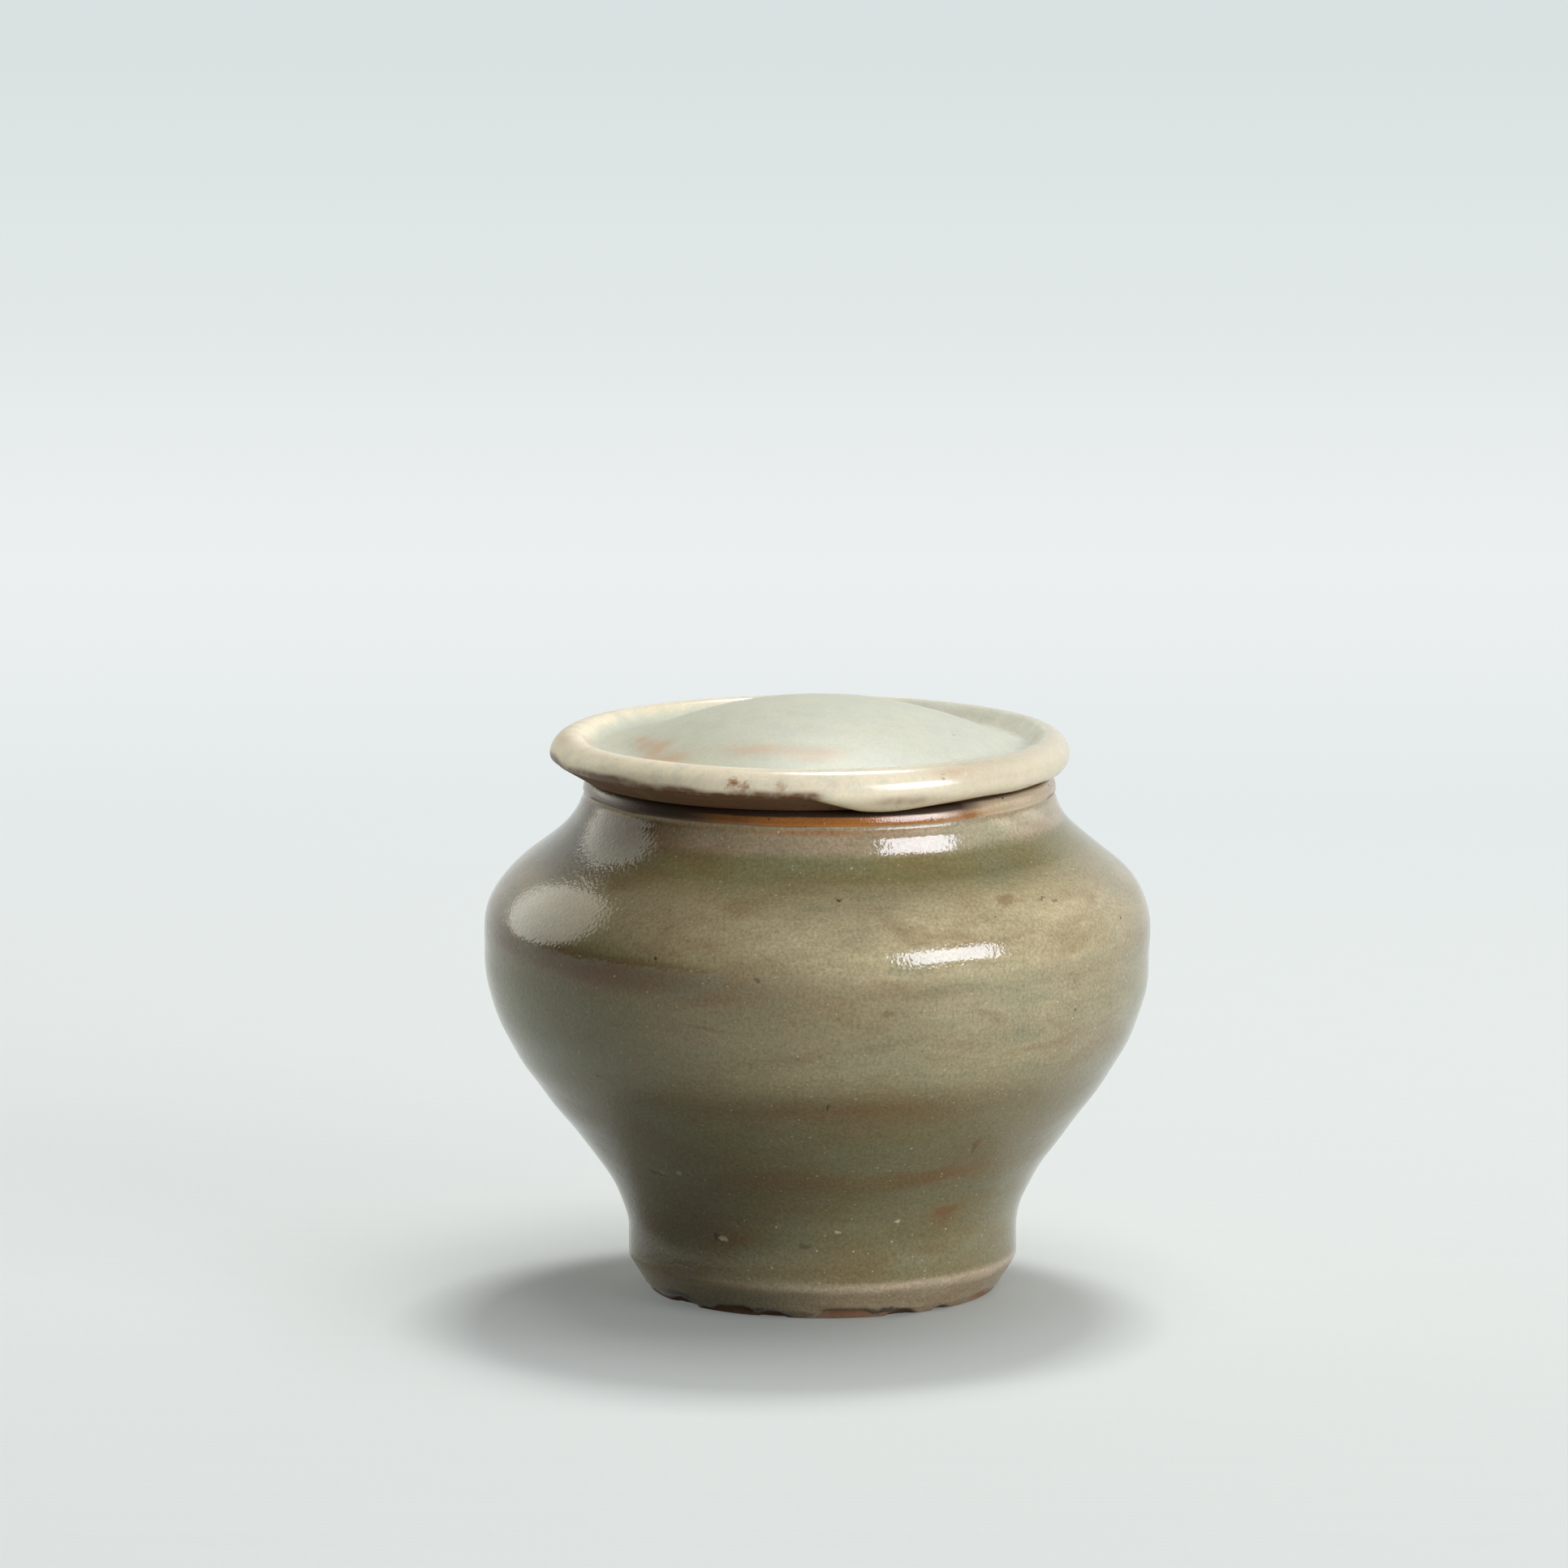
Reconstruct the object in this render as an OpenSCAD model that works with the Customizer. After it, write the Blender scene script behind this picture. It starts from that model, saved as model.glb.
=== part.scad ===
// Small lidded stoneware jar with a celadon glaze.
// The jar was thrown on a wheel and its foot was trimmed with a turning tool.
// The lid drops on a flat land on the rim and is kept in place by a flange inside the mouth.
// Units are millimetres. The origin is the centre of the foot, on the ground, with +Z up.
// The front, which the viewer sees first, faces -Y, and angles round the pot start there.

/* [Jar] */
// Outer diameter at the belly, over the glaze
belly_d = 88; // [80:0.5:100]
// Height of the belly's widest point
belly_h = 44.7; // [40:0.1:48]
// Outer diameter at the top of the foot, over the glaze
foot_d = 51.6; // [44:0.2:60]
// Height at which the straight foot turns into the flank
foot_h = 7.6; // [6.5:0.1:12]
// Outer diameter on the shoulder, where it leans most
shoulder_d = 77.8; // [74:0.2:80]
// Height of that place on the shoulder
shoulder_h = 57.5; // [55:0.1:60]
// Lean of the shoulder there, in degrees from upright
shoulder_lean = 52; // [42:1:58]
// Outer diameter of the rim
rim_d = 62.5; // [60:0.1:66]
// Height of the rim, where the lid sits
rim_h = 68.7; // [66:0.1:74]
// Clear diameter of the mouth between its clay walls
mouth_d = 55.3; // [52:0.1:57]

/* [Walls] */
// Clay thickness at the belly
wall = 3.9; // [3:0.1:5]
// Clay thickness of the floor above the recess
floor_t = 5.5; // [4:0.1:8]
// Width of the rim's outer rounding
rim_round = 1.15; // [0.8:0.05:1.6]
// Width of the rim's inner rounding
mouth_round = 0.95; // [0.6:0.05:1.2]
// Height of both roundings
rim_round_h = 1.8; // [1:0.1:2.4]

/* [Foot] */
// Diameter of the bottom edge of the foot, where its bevel ends
base_d = 46.2; // [40:0.2:48]
// Height of the bevel's upper edge
bevel_h = 4.4; // [3:0.1:5.4]
// Blend between the bevel and the straight foot
bevel_blend = 0.9; // [0.4:0.1:1]
// Width of the ring that the jar stands on
ring_w = 6; // [4:0.1:8]
// Depth of the recess inside the ring
recess_h = 2.5; // [1:0.1:4]
// How far the wall of the recess leans inwards
recess_lean = 1; // [0:0.1:2]

/* [Chips in the foot] */
// Angles of the chips, from the front to the right
chip_angles = [-52, -16, 27, 43]; // [-180:1:180]
// Widths of the chips along the bottom edge
chip_widths = [8, 6.4, 5.4, 3.4]; // [2:0.1:10]
// Depth of each chip as a share of its width
chip_depth = 0.12; // [0.06:0.01:0.2]

/* [Glaze] */
// Thickness of the outer glaze
glaze_t = 0.5; // [0.3:0.05:0.8]
// Thickness of the inner glaze
glaze_in_t = 0.35; // [0.2:0.05:0.6]
// Distance over which a glaze thins out to its edge
glaze_fade = 1.6; // [0.8:0.1:2.4]
// Height at which the outer glaze ends above the ground
glaze_low = 1; // [0.6:0.1:1.6]

/* [Lid] */
// How far the lid reaches past the rim of the jar
lid_overhang = 3.15; // [2:0.05:4]
// How far the lid sits to the left of the jar's axis
lid_shift = 1.3; // [0:0.1:1.6]
// Height of the dome's top above the seat
dome_h = 10.04; // [9:0.1:13]
// Radius of the dome at the gutter round it
dome_r = 25; // [23:0.1:26]
// Drop of the dome from its top to the gutter
dome_drop = 5.7; // [4.6:0.1:6.2]
// Height of the gutter's floor above the seat
gutter_h = 3.75; // [3.5:0.05:4.2]
// Height of the lip's crest above the seat
lip_h = 5.6; // [5:0.1:6.4]
// Distance from the lip's crest to the edge of the lid
lip_w = 3; // [2.4:0.1:3.4]
// Height of the lid's widest point above the seat
edge_h = 2.8; // [2.5:0.1:3.2]
// Height above the seat at which the glaze ends and the bare bevel starts
lid_bevel_h = 2.2; // [1.6:0.1:2.4]
// Clay thickness of the dome
lid_wall = 3; // [2.4:0.1:3.4]

/* [Flange of the lid] */
// Depth of the flange below the seat
flange_h = 4; // [2.5:0.1:6]
// Thickness of the flange
flange_t = 3; // [2.2:0.1:4]
// Least gap between the flange and the glazed wall of the mouth
flange_gap = 0.4; // [0.3:0.05:0.8]
// Rounding of the flange's lower edges
flange_round = 0.8; // [0.3:0.1:1]

/* [Glaze run under the lid] */
// Angle at which the thick run of glaze starts, from the front to the right
run_from = 6; // [-30:1:60]
// Angle at which it ends
run_to = 125; // [90:1:170]
// Width of the clay bevel that the run leaves bare next to the seat
run_clear = 1.1; // [0.9:0.1:1.8]
// How far the run bulges out from the bevel
run_bulge = 1.9; // [1:0.1:2]

/* [Hidden] */
$fn = 96;

clay_colour = "#B58A66";
glaze_colour = "#8F9778";
inner_glaze_colour = "#9AA388";
lid_clay_colour = "#A98468";
lid_glaze_colour = "#C9CDB6";

// Straight pieces in each curve of an outline
flank_steps = 12;
shoulder_steps = 9;
neck_steps = 8;
bowl_steps = 16;
round_steps = 5;
dome_steps = 10;
lip_steps = 6;
lid_lower_steps = 3;
run_steps = 12;

// Handles of the jar's curves, as shares of the height or length that each curve spans
foot_pull = 0.3;
flank_pull = 0.43;
belly_pull = 0.31;
shoulder_pull = 0.57;
neck_pull = 0.33;
// Handles of the inside curve below the belly, as shares of its height and of the foot's radius
hollow_pull = 0.36;
floor_pull = 0.85;

belly_r = belly_d / 2;
foot_r = foot_d / 2;
shoulder_r = shoulder_d / 2;
rim_r = rim_d / 2;
mouth_r = mouth_d / 2;
base_r = base_d / 2;
ring_r = base_r - ring_w;
floor_h = recess_h + floor_t;
round_h = rim_h - rim_round_h;

// A point on a cubic curve c of four handles, with t from 0 to 1
function on_curve(c, t) =
    pow(1 - t, 3) * c[0] + 3 * pow(1 - t, 2) * t * c[1] + 3 * (1 - t) * t * t * c[2] + pow(t, 3) * c[3];

// The direction of the curve at t
function along(c, t) =
    pow(1 - t, 2) * (c[1] - c[0]) + 2 * (1 - t) * t * (c[2] - c[1]) + t * t * (c[3] - c[2]);

// The unit vector on the right-hand side of a direction, which is outwards on an upward curve
function right_of(d) = [d.y, -d.x] / norm(d);

// A straight line as such a curve
function line(a, b) = [a, a + (b - a) / 3, a + (b - a) * 2 / 3, b];

// Points on a curve and the outward unit vectors there, without the curve's last point
function stations(c, steps) =
    [for (i = [0:steps - 1]) [on_curve(c, i / steps), right_of(along(c, i / steps))]];

// The last point of a curve and the outward unit vector there
function last_station(c) = [[c[3], right_of(along(c, 1))]];

// A quarter of an ellipse from a to b, with its upright end at a and its level end at b
function quarter(a, b, steps) =
    [for (i = [1:steps - 1]) [b.x + (a.x - b.x) * cos(90 * i / steps), a.y + (b.y - a.y) * sin(90 * i / steps)]];

// A list in the opposite order
function backwards(list) = [for (i = [len(list) - 1:-1:0]) list[i]];

// How full a glaze is at a distance from its edge, from 0 to 1
function fullness(distance) = sin(90 * min(1, max(0, distance / glaze_fade)));

// The outer glaze, from its lower edge on the bevel to its upper edge at the rim
bevel_low = [base_r, 0];
bevel_top = [foot_r, bevel_h];
bevel_run = (bevel_top - bevel_low) / norm(bevel_top - bevel_low);
glaze_start = bevel_low + (bevel_top - bevel_low) * glaze_low / bevel_h;
bevel_end = bevel_top - bevel_run * bevel_blend;
foot_start = bevel_top + [0, bevel_blend];
foot_end = [foot_r, foot_h];
belly = [belly_r, belly_h];
shoulder = [shoulder_r, shoulder_h];
rim_start = [rim_r, round_h];
shoulder_dir = [-sin(shoulder_lean), cos(shoulder_lean)];
flank_h = belly_h - foot_h;
shoulder_len = norm(shoulder - belly);
neck_len = norm(rim_start - shoulder);

bevel_curve = line(glaze_start, bevel_end);
blend_curve = [bevel_end, bevel_top, bevel_top, foot_start];
flank_curve = [foot_end, foot_end + [0, foot_pull * flank_h], belly - [0, flank_pull * flank_h], belly];
shoulder_curve = [
    belly,
    belly + [0, belly_pull * (shoulder_h - belly_h)],
    shoulder - shoulder_dir * shoulder_pull * shoulder_len,
    shoulder
];
neck_curve = [
    shoulder,
    shoulder + shoulder_dir * neck_pull * neck_len,
    rim_start - [0, neck_pull * neck_len],
    rim_start
];

lower_stations = concat(
    stations(bevel_curve, 3),
    stations(blend_curve, 4),
    stations(line(foot_start, foot_end), 1),
    stations(flank_curve, flank_steps)
);
upper_stations = concat(
    stations(shoulder_curve, shoulder_steps),
    stations(neck_curve, neck_steps),
    last_station(neck_curve)
);
outer_stations = concat(lower_stations, upper_stations);
outer_points = [for (s = outer_stations) s[0]];

// The clay under the outer glaze lies one glaze thickness deeper, and meets it at both edges
function outer_depth(p) = glaze_t * fullness(min(p.y - glaze_low, round_h - p.y));
clay_points = [for (s = outer_stations) s[0] - s[1] * outer_depth(s[0])];

// The inside of the clay above the belly follows the outside, and the wall turns into the rim's
belly_depth = wall + glaze_t;
rim_depth = rim_r - mouth_r;
function wall_depth(p) = belly_depth + (rim_depth - belly_depth) * (p.y - belly_h) / (round_h - belly_h);
inner_upper = [for (s = upper_stations) [s[0] - s[1] * wall_depth(s[0]), s[1]]];

// Below the belly the inside is a round bowl down to the middle of the floor
bowl_top = [belly_r - belly_depth, belly_h];
bowl_curve = [
    [0, floor_h],
    [floor_pull * foot_r, floor_h],
    bowl_top - [0, hollow_pull * (belly_h - floor_h)],
    bowl_top
];
inner_stations = concat(stations(bowl_curve, bowl_steps), inner_upper);
inner_points = [for (s = inner_stations) s[0]];

// The inner glaze lies on the clay, from the middle of the floor to the start of the rim
function inner_depth(p) = glaze_in_t * fullness(round_h - p.y);
inner_glaze_points = [for (s = inner_stations) s[0] - s[1] * inner_depth(s[0])];

land_out = rim_r - rim_round;
land_in = mouth_r + mouth_round;
rim_points = concat(
    quarter(rim_start, [land_out, rim_h], round_steps),
    [[land_out, rim_h], [land_in, rim_h]],
    backwards(quarter([mouth_r, round_h], [land_in, rim_h], round_steps))
);

// The lid is drawn from its seat upwards, round its own axis, and then put on the rim
edge_r = rim_r + lid_overhang;
lip_r = edge_r - lip_w;
bevel_r = edge_r - 0.5 * run_clear;
gutter_r = (dome_r + lip_r) / 2;
dome_power = 2.06;
dome_slope = -dome_power * dome_drop / dome_r;
dome_edge = [dome_r, dome_h - dome_drop];
gutter = [gutter_r, gutter_h];
lip_crest = [lip_r, lip_h];
lid_edge = [edge_r, edge_h];
lid_bevel = [bevel_r, lid_bevel_h];
seat_edge = [land_out, 0];
gutter_reach = (gutter_r - dome_r) / 3;
lip_reach = (lip_r - gutter_r) / 2;

// The height of the dome over a radius, and its outward unit vector
function dome_at(r) = dome_h - dome_drop * pow(r / dome_r, dome_power);
function dome_normal(r) =
    right_of([-1, r == 0 ? 0 : dome_power * dome_drop / dome_r * pow(r / dome_r, dome_power - 1)]);

lid_lower_curve = [lid_bevel, lid_bevel + [0.3, 0.2], lid_edge - [0, 0.3], lid_edge];
lip_outer_curve = [lid_edge, lid_edge + [0, 0.55 * (lip_h - edge_h)], lip_crest + [0.55 * lip_w, 0], lip_crest];
lip_inner_curve = [lip_crest, lip_crest - [lip_reach, 0], gutter + [lip_reach, 0], gutter];
gutter_curve = [gutter, gutter - [gutter_reach, 0], dome_edge + [1, dome_slope] * gutter_reach, dome_edge];
lid_stations = concat(
    stations(lid_lower_curve, lid_lower_steps),
    stations(lip_outer_curve, lip_steps),
    stations(lip_inner_curve, lip_steps),
    stations(gutter_curve, lip_steps),
    [for (i = [0:dome_steps]) let (r = dome_r * (1 - i / dome_steps)) [[r, dome_at(r)], dome_normal(r)]]
);
lid_points = [for (s = lid_stations) s[0]];

// The lid's glaze thins out only at its lower edge
function lid_depth(p) = p.x < lip_r ? glaze_t : glaze_t * fullness(norm(p - lid_bevel));
lid_clay_points = [for (s = lid_stations) s[0] - s[1] * lid_depth(s[0])];

// The underside of the lid: its dome, the flange and the seat
flange_r = mouth_r - glaze_in_t - lid_shift - flange_gap;
flange_in = flange_r - flange_t;
under_h = dome_h - glaze_t - lid_wall;
function under_at(r) = under_h - dome_drop * pow(r / dome_r, dome_power);
under_points = concat(
    [for (i = [0:dome_steps]) let (r = flange_in * i / dome_steps) [r, under_at(r)]],
    [[flange_in, flange_round - flange_h]],
    quarter([flange_in, flange_round - flange_h], [flange_in + flange_round, -flange_h], round_steps),
    [[flange_in + flange_round, -flange_h], [flange_r - flange_round, -flange_h]],
    backwards(quarter([flange_r, flange_round - flange_h], [flange_r - flange_round, -flange_h], round_steps)),
    [[flange_r, flange_round - flange_h], [flange_r, 0], seat_edge]
);

// The run of glaze hangs from the lid's edge and clings to the bevel, short of the seat
lid_bevel_run = (lid_bevel - seat_edge) / norm(lid_bevel - seat_edge);
run_end = seat_edge + lid_bevel_run * run_clear;
run_curve = [
    run_end,
    run_end + [run_clear, -0.5 * run_bulge],
    lid_edge - [0, run_bulge + 0.3],
    lid_edge
];
run_points = [for (i = [0:run_steps]) on_curve(run_curve, i / run_steps)];
run_root = [for (i = [0:lid_lower_steps + 1]) (lid_points[i] + lid_clay_points[i]) / 2];

module jar_body() {
    color(clay_colour)
        difference() {
            rotate_extrude()
                polygon(concat(
                    [[0, recess_h], [ring_r - recess_lean, recess_h], [ring_r, 0], bevel_low],
                    clay_points,
                    rim_points,
                    backwards(inner_points)
                ));
            foot_chips();
        }
}

module jar_glaze_outside() {
    color(glaze_colour)
        difference() {
            rotate_extrude()
                coat(outer_points, clay_points);
            foot_chips();
        }
}

module jar_glaze_inside() {
    color(inner_glaze_colour)
        rotate_extrude()
            polygon(concat(inner_points, backwards([for (i = [0:len(inner_points) - 2]) inner_glaze_points[i]])));
}

module lid_body() {
    color(lid_clay_colour)
        on_the_rim()
            rotate_extrude()
                polygon(concat(lid_clay_points, under_points));
}

module lid_glaze() {
    color(lid_glaze_colour)
        on_the_rim() {
            rotate_extrude()
                lid_coat();
            rotate([0, 0, run_from - 90])
                rotate_extrude(angle = run_to - run_from)
                    glaze_run();
        }
}

// A thin coat between a surface and the clay below it, which meet at both ends
module coat(surface, clay) {
    last = len(surface) - 1;
    polygon(concat(surface, [for (i = [last - 1:-1:1]) clay[i]]));
}

// The lid's coat starts at its lower edge and ends on the lid's axis
module lid_coat() {
    polygon(concat(lid_points, backwards([for (i = [1:len(lid_points) - 1]) lid_clay_points[i]])));
}

// The run hangs from the lid's edge, where it starts halfway into the coat so that both are one glass
module glaze_run() {
    polygon(concat(run_points, backwards(run_root)));
}

// Round bites that knocks have taken out of the bottom edge of the foot
module foot_chips() {
    edge_dir = right_of(bevel_run) + [0, -1];
    for (i = [0:len(chip_angles) - 1]) {
        depth = chip_depth * chip_widths[i];
        bite_r = (pow(chip_widths[i] / 2, 2) + depth * depth) / (2 * depth);
        centre = bevel_low + edge_dir / norm(edge_dir) * (bite_r - depth);
        rotate([0, 0, chip_angles[i] - 90])
            translate([centre.x, 0, centre.y])
                sphere(r = bite_r);
    }
}

// Moves what is drawn from the seat upwards onto the rim, a little to the left of the jar's axis
module on_the_rim() {
    translate([-lid_shift, 0, rim_h])
        children();
}

jar_body();
jar_glaze_outside();
jar_glaze_inside();
lid_body();
lid_glaze();
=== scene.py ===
"""A small squat jar of celadon-glazed stoneware with a domed lid, laid out as an add-on.

Each piece is a surface worked out on a grid: one direction goes round the jar's axis, and the
other follows an outline of radius and height. Lengths are in metres, and angles round the axis
are measured from the front, which faces -Y, towards the right, +X.
"""

import math

import bpy
import numpy as np
from bpy.props import FloatProperty, FloatVectorProperty, PointerProperty
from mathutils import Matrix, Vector


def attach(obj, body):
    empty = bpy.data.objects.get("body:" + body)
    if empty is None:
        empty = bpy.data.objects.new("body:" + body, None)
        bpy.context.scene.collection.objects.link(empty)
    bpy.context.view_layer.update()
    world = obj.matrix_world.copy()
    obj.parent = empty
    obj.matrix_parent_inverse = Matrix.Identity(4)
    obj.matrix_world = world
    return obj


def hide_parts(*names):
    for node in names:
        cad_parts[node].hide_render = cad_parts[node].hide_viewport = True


bl_info = {
    "name": "Lidded Celadon Jar",
    "version": (1, 0, 0),
    "blender": (4, 5, 0),
    "location": "View3D > Sidebar > Jar",
    "description": "Builds a glazed stoneware jar, its lid and a plain photo stage",
    "category": "Add Mesh",
}

MM = 0.001
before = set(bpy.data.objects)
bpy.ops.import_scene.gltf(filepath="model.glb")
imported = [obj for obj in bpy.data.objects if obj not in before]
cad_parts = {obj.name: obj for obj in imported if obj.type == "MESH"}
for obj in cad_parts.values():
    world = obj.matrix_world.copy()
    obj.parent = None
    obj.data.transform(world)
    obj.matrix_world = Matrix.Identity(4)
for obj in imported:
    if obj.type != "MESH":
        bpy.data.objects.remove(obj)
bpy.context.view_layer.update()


# Sizes and colours that a user would change


def length(name, description, default):
    """A property for a length in metres, with its default given in millimetres."""
    return FloatProperty(
        name=name, description=description, default=default * MM, min=0, unit="LENGTH", precision=5
    )


def colour(name, description, default):
    """A property for a colour, with its default given as an sRGB hex value."""
    return FloatVectorProperty(
        name=name, description=description, default=linear(default), size=3, min=0, max=1, subtype="COLOR"
    )


def linear(code):
    """The linear red, green and blue of an sRGB hex value such as 0x8A7B5C."""
    parts = np.array([code >> 16 & 255, code >> 8 & 255, code & 255]) / 255
    return tuple(np.where(parts <= 0.04045, parts / 12.92, ((parts + 0.055) / 1.055) ** 2.4))


class JarSizes(bpy.types.PropertyGroup):
    """Sizes of the thrown jar and its two coats of glaze."""

    belly_radius: length("Belly radius", "Largest radius of the jar", 44)
    belly_height: length("Belly height", "Height of the widest place", 44.7)
    foot_radius: length("Foot radius", "Radius of the upright foot", 25.8)
    foot_height: length("Foot height", "Height at which the flank starts", 7.6)
    shoulder_radius: length("Shoulder radius", "Radius where shoulder and neck meet", 38.9)
    shoulder_height: length("Shoulder height", "Height where shoulder and neck meet", 57.5)
    rim_radius: length("Rim radius", "Outer radius of the rim", 31.25)
    rim_height: length("Rim height", "Height of the rim, on which the lid lies", 68.7)
    mouth_radius: length("Mouth radius", "Radius of the mouth", 27.65)
    wall: length("Wall", "Thickness of the clay at the belly", 3.9)
    floor_height: length("Floor height", "Height of the inside floor over the ground", 8)
    base_radius: length("Base radius", "Outer radius of the foot ring on the ground", 23.1)
    bevel_height: length("Bevel height", "Height of the trimmed bevel at the foot", 4.4)
    glaze: length("Outer glaze", "Thickness of the outer glaze", 0.5)
    inner_glaze: length("Inner glaze", "Thickness of the inner glaze", 0.35)
    ridge: length("Throwing ridges", "Height of the ridges left by the thrower's fingers", 0.07)


class LidSizes(bpy.types.PropertyGroup):
    """Sizes of the lid, its flange and its run of glaze."""

    radius: length("Lid radius", "Radius at the edge of the lid", 34.4)
    shift: length("Shift", "How far left of the jar's axis the lid lies", 1.3)
    lip_width: length("Lip width", "Width of the raised lip", 3)
    lip_height: length("Lip height", "Height of the lip's crest over the seat", 5.6)
    edge_height: length("Edge height", "Height of the widest place over the seat", 2.8)
    dome_radius: length("Dome radius", "Radius of the dome", 25)
    dome_height: length("Dome height", "Height of the dome over the seat", 10.04)
    flange_radius: length("Flange radius", "Outer radius of the flange in the mouth", 25.6)
    flange_depth: length("Flange depth", "How far the flange reaches into the mouth", 4)
    run_bulge: length("Run", "How far the run of glaze hangs below the edge", 1.9)


class Colours(bpy.types.PropertyGroup):
    """Colours of glaze, clay and stage."""

    floor: colour("Floor", "Colour of the cloth the jar stands on", 0xE9EEEC)
    olive: colour("Olive", "The celadon of the jar at its usual thickness", 0x867A58)
    amber: colour("Amber", "Warmer celadon on the shoulder", 0x958563)
    straw: colour("Straw", "The lightest celadon, tan and a little milky", 0xAFA17C)
    sage: colour("Sage", "Cool grey-green celadon where the kiln reduced most", 0x75785B)
    mist: colour("Mist", "Pale grey-green celadon on the right flank", 0x878570)
    deep: colour("Deep", "Dark olive celadon low on the flank", 0x716745)
    iron: colour("Iron", "Brown celadon where iron came through in bands", 0x6F512E)
    pooled: colour("Pooled", "Dark olive celadon that pooled under the neck", 0x7A7049)
    thin: colour("Thin", "Pinkish grey where the coat is thin on the neck", 0xA08D70)
    # partly a dark brown stain and partly painted shade under the lid on the left of the neck
    umber_and_shade: colour("Umber", "Dark brown stain on the left of the neck", 0x5A4E3D)
    rust: colour("Rust", "Orange clay that shows through the glaze at the rim", 0x96602C)
    # painted light: a paler tone that lifts the back of the lid's gutter, which lies in shade
    gutter_fill_light: colour("Milk", "Milky glaze that pooled in the lid's gutter at the back", 0xE2E3D1)
    # painted shade: a darker cream for the right side of the lid's lip
    lip_right_shade: colour("Biscuit", "Slightly toasted cream on the lip's right side", 0xCBBFA2)
    crest: colour("Crest", "Pinkish line where the glaze broke over the top of the bevel", 0xBBA78C)
    # painted shadow: the lid's shadow in the crease where it lies on the rim, given as a dark brown colour
    crease_shadow: colour("Soot", "Dark brown crease where the lid lies on the rim", 0x35261A)
    trim: colour("Trim", "Thin pinkish-brown glaze on the foot's bevel", 0x958566)
    # milky bubbles in the glaze, and also a painted glint on the rim's right
    bubble_and_glint: colour("Bubble", "Milky bubbles in the celadon", 0xC6BE9F)
    # iron specks and pinholes, and also painted shade in the hollows of the foot's chips
    speck_and_shade: colour("Speck", "Iron specks and pinholes", 0x3E3222)
    clay: colour("Clay", "Bare stoneware of the jar", 0x8D7A64)
    flashed: colour("Flashed", "Bare stoneware that the kiln turned orange-brown", 0x6F4F36)
    cream: colour("Cream", "Milky glaze on the lid's lip", 0xE8DBBB)
    pale_sage: colour("Pale Sage", "Pale green glaze of the lid's dome", 0xC8C9B4)
    pale_straw: colour("Pale Straw", "Yellower glaze in the middle of the dome", 0xCAC9AE)
    blush: colour("Blush", "Pink clay that shows through the lid's glaze", 0xC9AD8D)
    inside: colour("Inside", "Celadon of the jar's inside", 0x9C9A80)


# Curves and grids


def cubic(a, b, c, d, count):
    """Points on the cubic curve from a to d that leaves towards b and arrives from c, without its last point."""
    t = np.linspace(0, 1, count, endpoint=False)[:, None]
    a, b, c, d = (np.asarray(p, float) for p in (a, b, c, d))
    return (1 - t) ** 3 * a + 3 * t * (1 - t) ** 2 * b + 3 * t * t * (1 - t) * c + t**3 * d


def line(a, b, count):
    """Points at equal steps from a towards b, without b."""
    t = np.linspace(0, 1, count, endpoint=False)[:, None]
    return np.asarray(a, float) * (1 - t) + np.asarray(b, float) * t


def quarter(upright, level, count):
    """Points on a quarter of an ellipse from its upright end to its level end, without the last.
    The radius follows the cosine and the height the sine of an angle from 0 to 90 degrees."""
    t = np.linspace(0, math.pi / 2, count, endpoint=False)
    return np.stack(
        [level[0] + (upright[0] - level[0]) * np.cos(t), upright[1] + (level[1] - upright[1]) * np.sin(t)], 1
    )


def smooth(low, high, x):
    """0 below low, 1 above high and an S-shaped rise between them."""
    t = np.clip((np.asarray(x, float) - low) / (high - low), 0, 1)
    return t * t * (3 - 2 * t)


class Outline:
    """A line of radius and height, with its length from the start and its normal on the right-hand side.
    A place on it is found by length, so that grids may start and end where they like."""

    def __init__(self, points):
        self.points = np.asarray(points, float)
        steps = np.hypot(*np.diff(self.points, axis=0).T)
        self.along = np.concatenate([[0], np.cumsum(steps)])
        tangent = np.gradient(self.points, self.along, axis=0)
        self.normals = np.stack([tangent[:, 1], -tangent[:, 0]], 1)
        self.normals /= np.hypot(*self.normals.T)[:, None]

    @property
    def length(self):
        return self.along[-1]

    def at(self, s):
        """Radius, height, normal's radius and normal's height at lengths s."""
        columns = [*self.points.T, *self.normals.T]
        return [np.interp(s, self.along, c) for c in columns]

    def height_to_length(self, z):
        """The length at which a rising outline reaches height z."""
        return np.interp(z, self.points[:, 1], self.along)


def ripple(angle, z, seed, harmonics, periods):
    """Slow waves round and up a thrown wall, from -1 to 1: a sum of cosines whose harmonics round the
    axis are whole numbers, so that they close, with seeded phases and slopes."""
    rng = np.random.default_rng(seed)
    total = np.zeros(np.broadcast(angle, z).shape)
    for n in harmonics:
        for period in periods:
            total = total + rng.uniform(0.5, 1) * np.cos(
                n * angle + 2 * math.pi * z / period * rng.choice([-1, 1]) + rng.uniform(0, 2 * math.pi)
            )
    return total / (0.75 * len(harmonics) * len(periods))


def around(segments):
    """Angles round the axis, from the back by the left, the front and the right to the back again."""
    return np.linspace(-math.pi, math.pi, segments, endpoint=False)


def turned(radius, height, angle, centre=0.0):
    """Points at a radius, height and angle round an axis through x = centre."""
    return np.stack([centre + radius * np.sin(angle), -radius * np.cos(angle), height + 0 * angle], -1)


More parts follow.
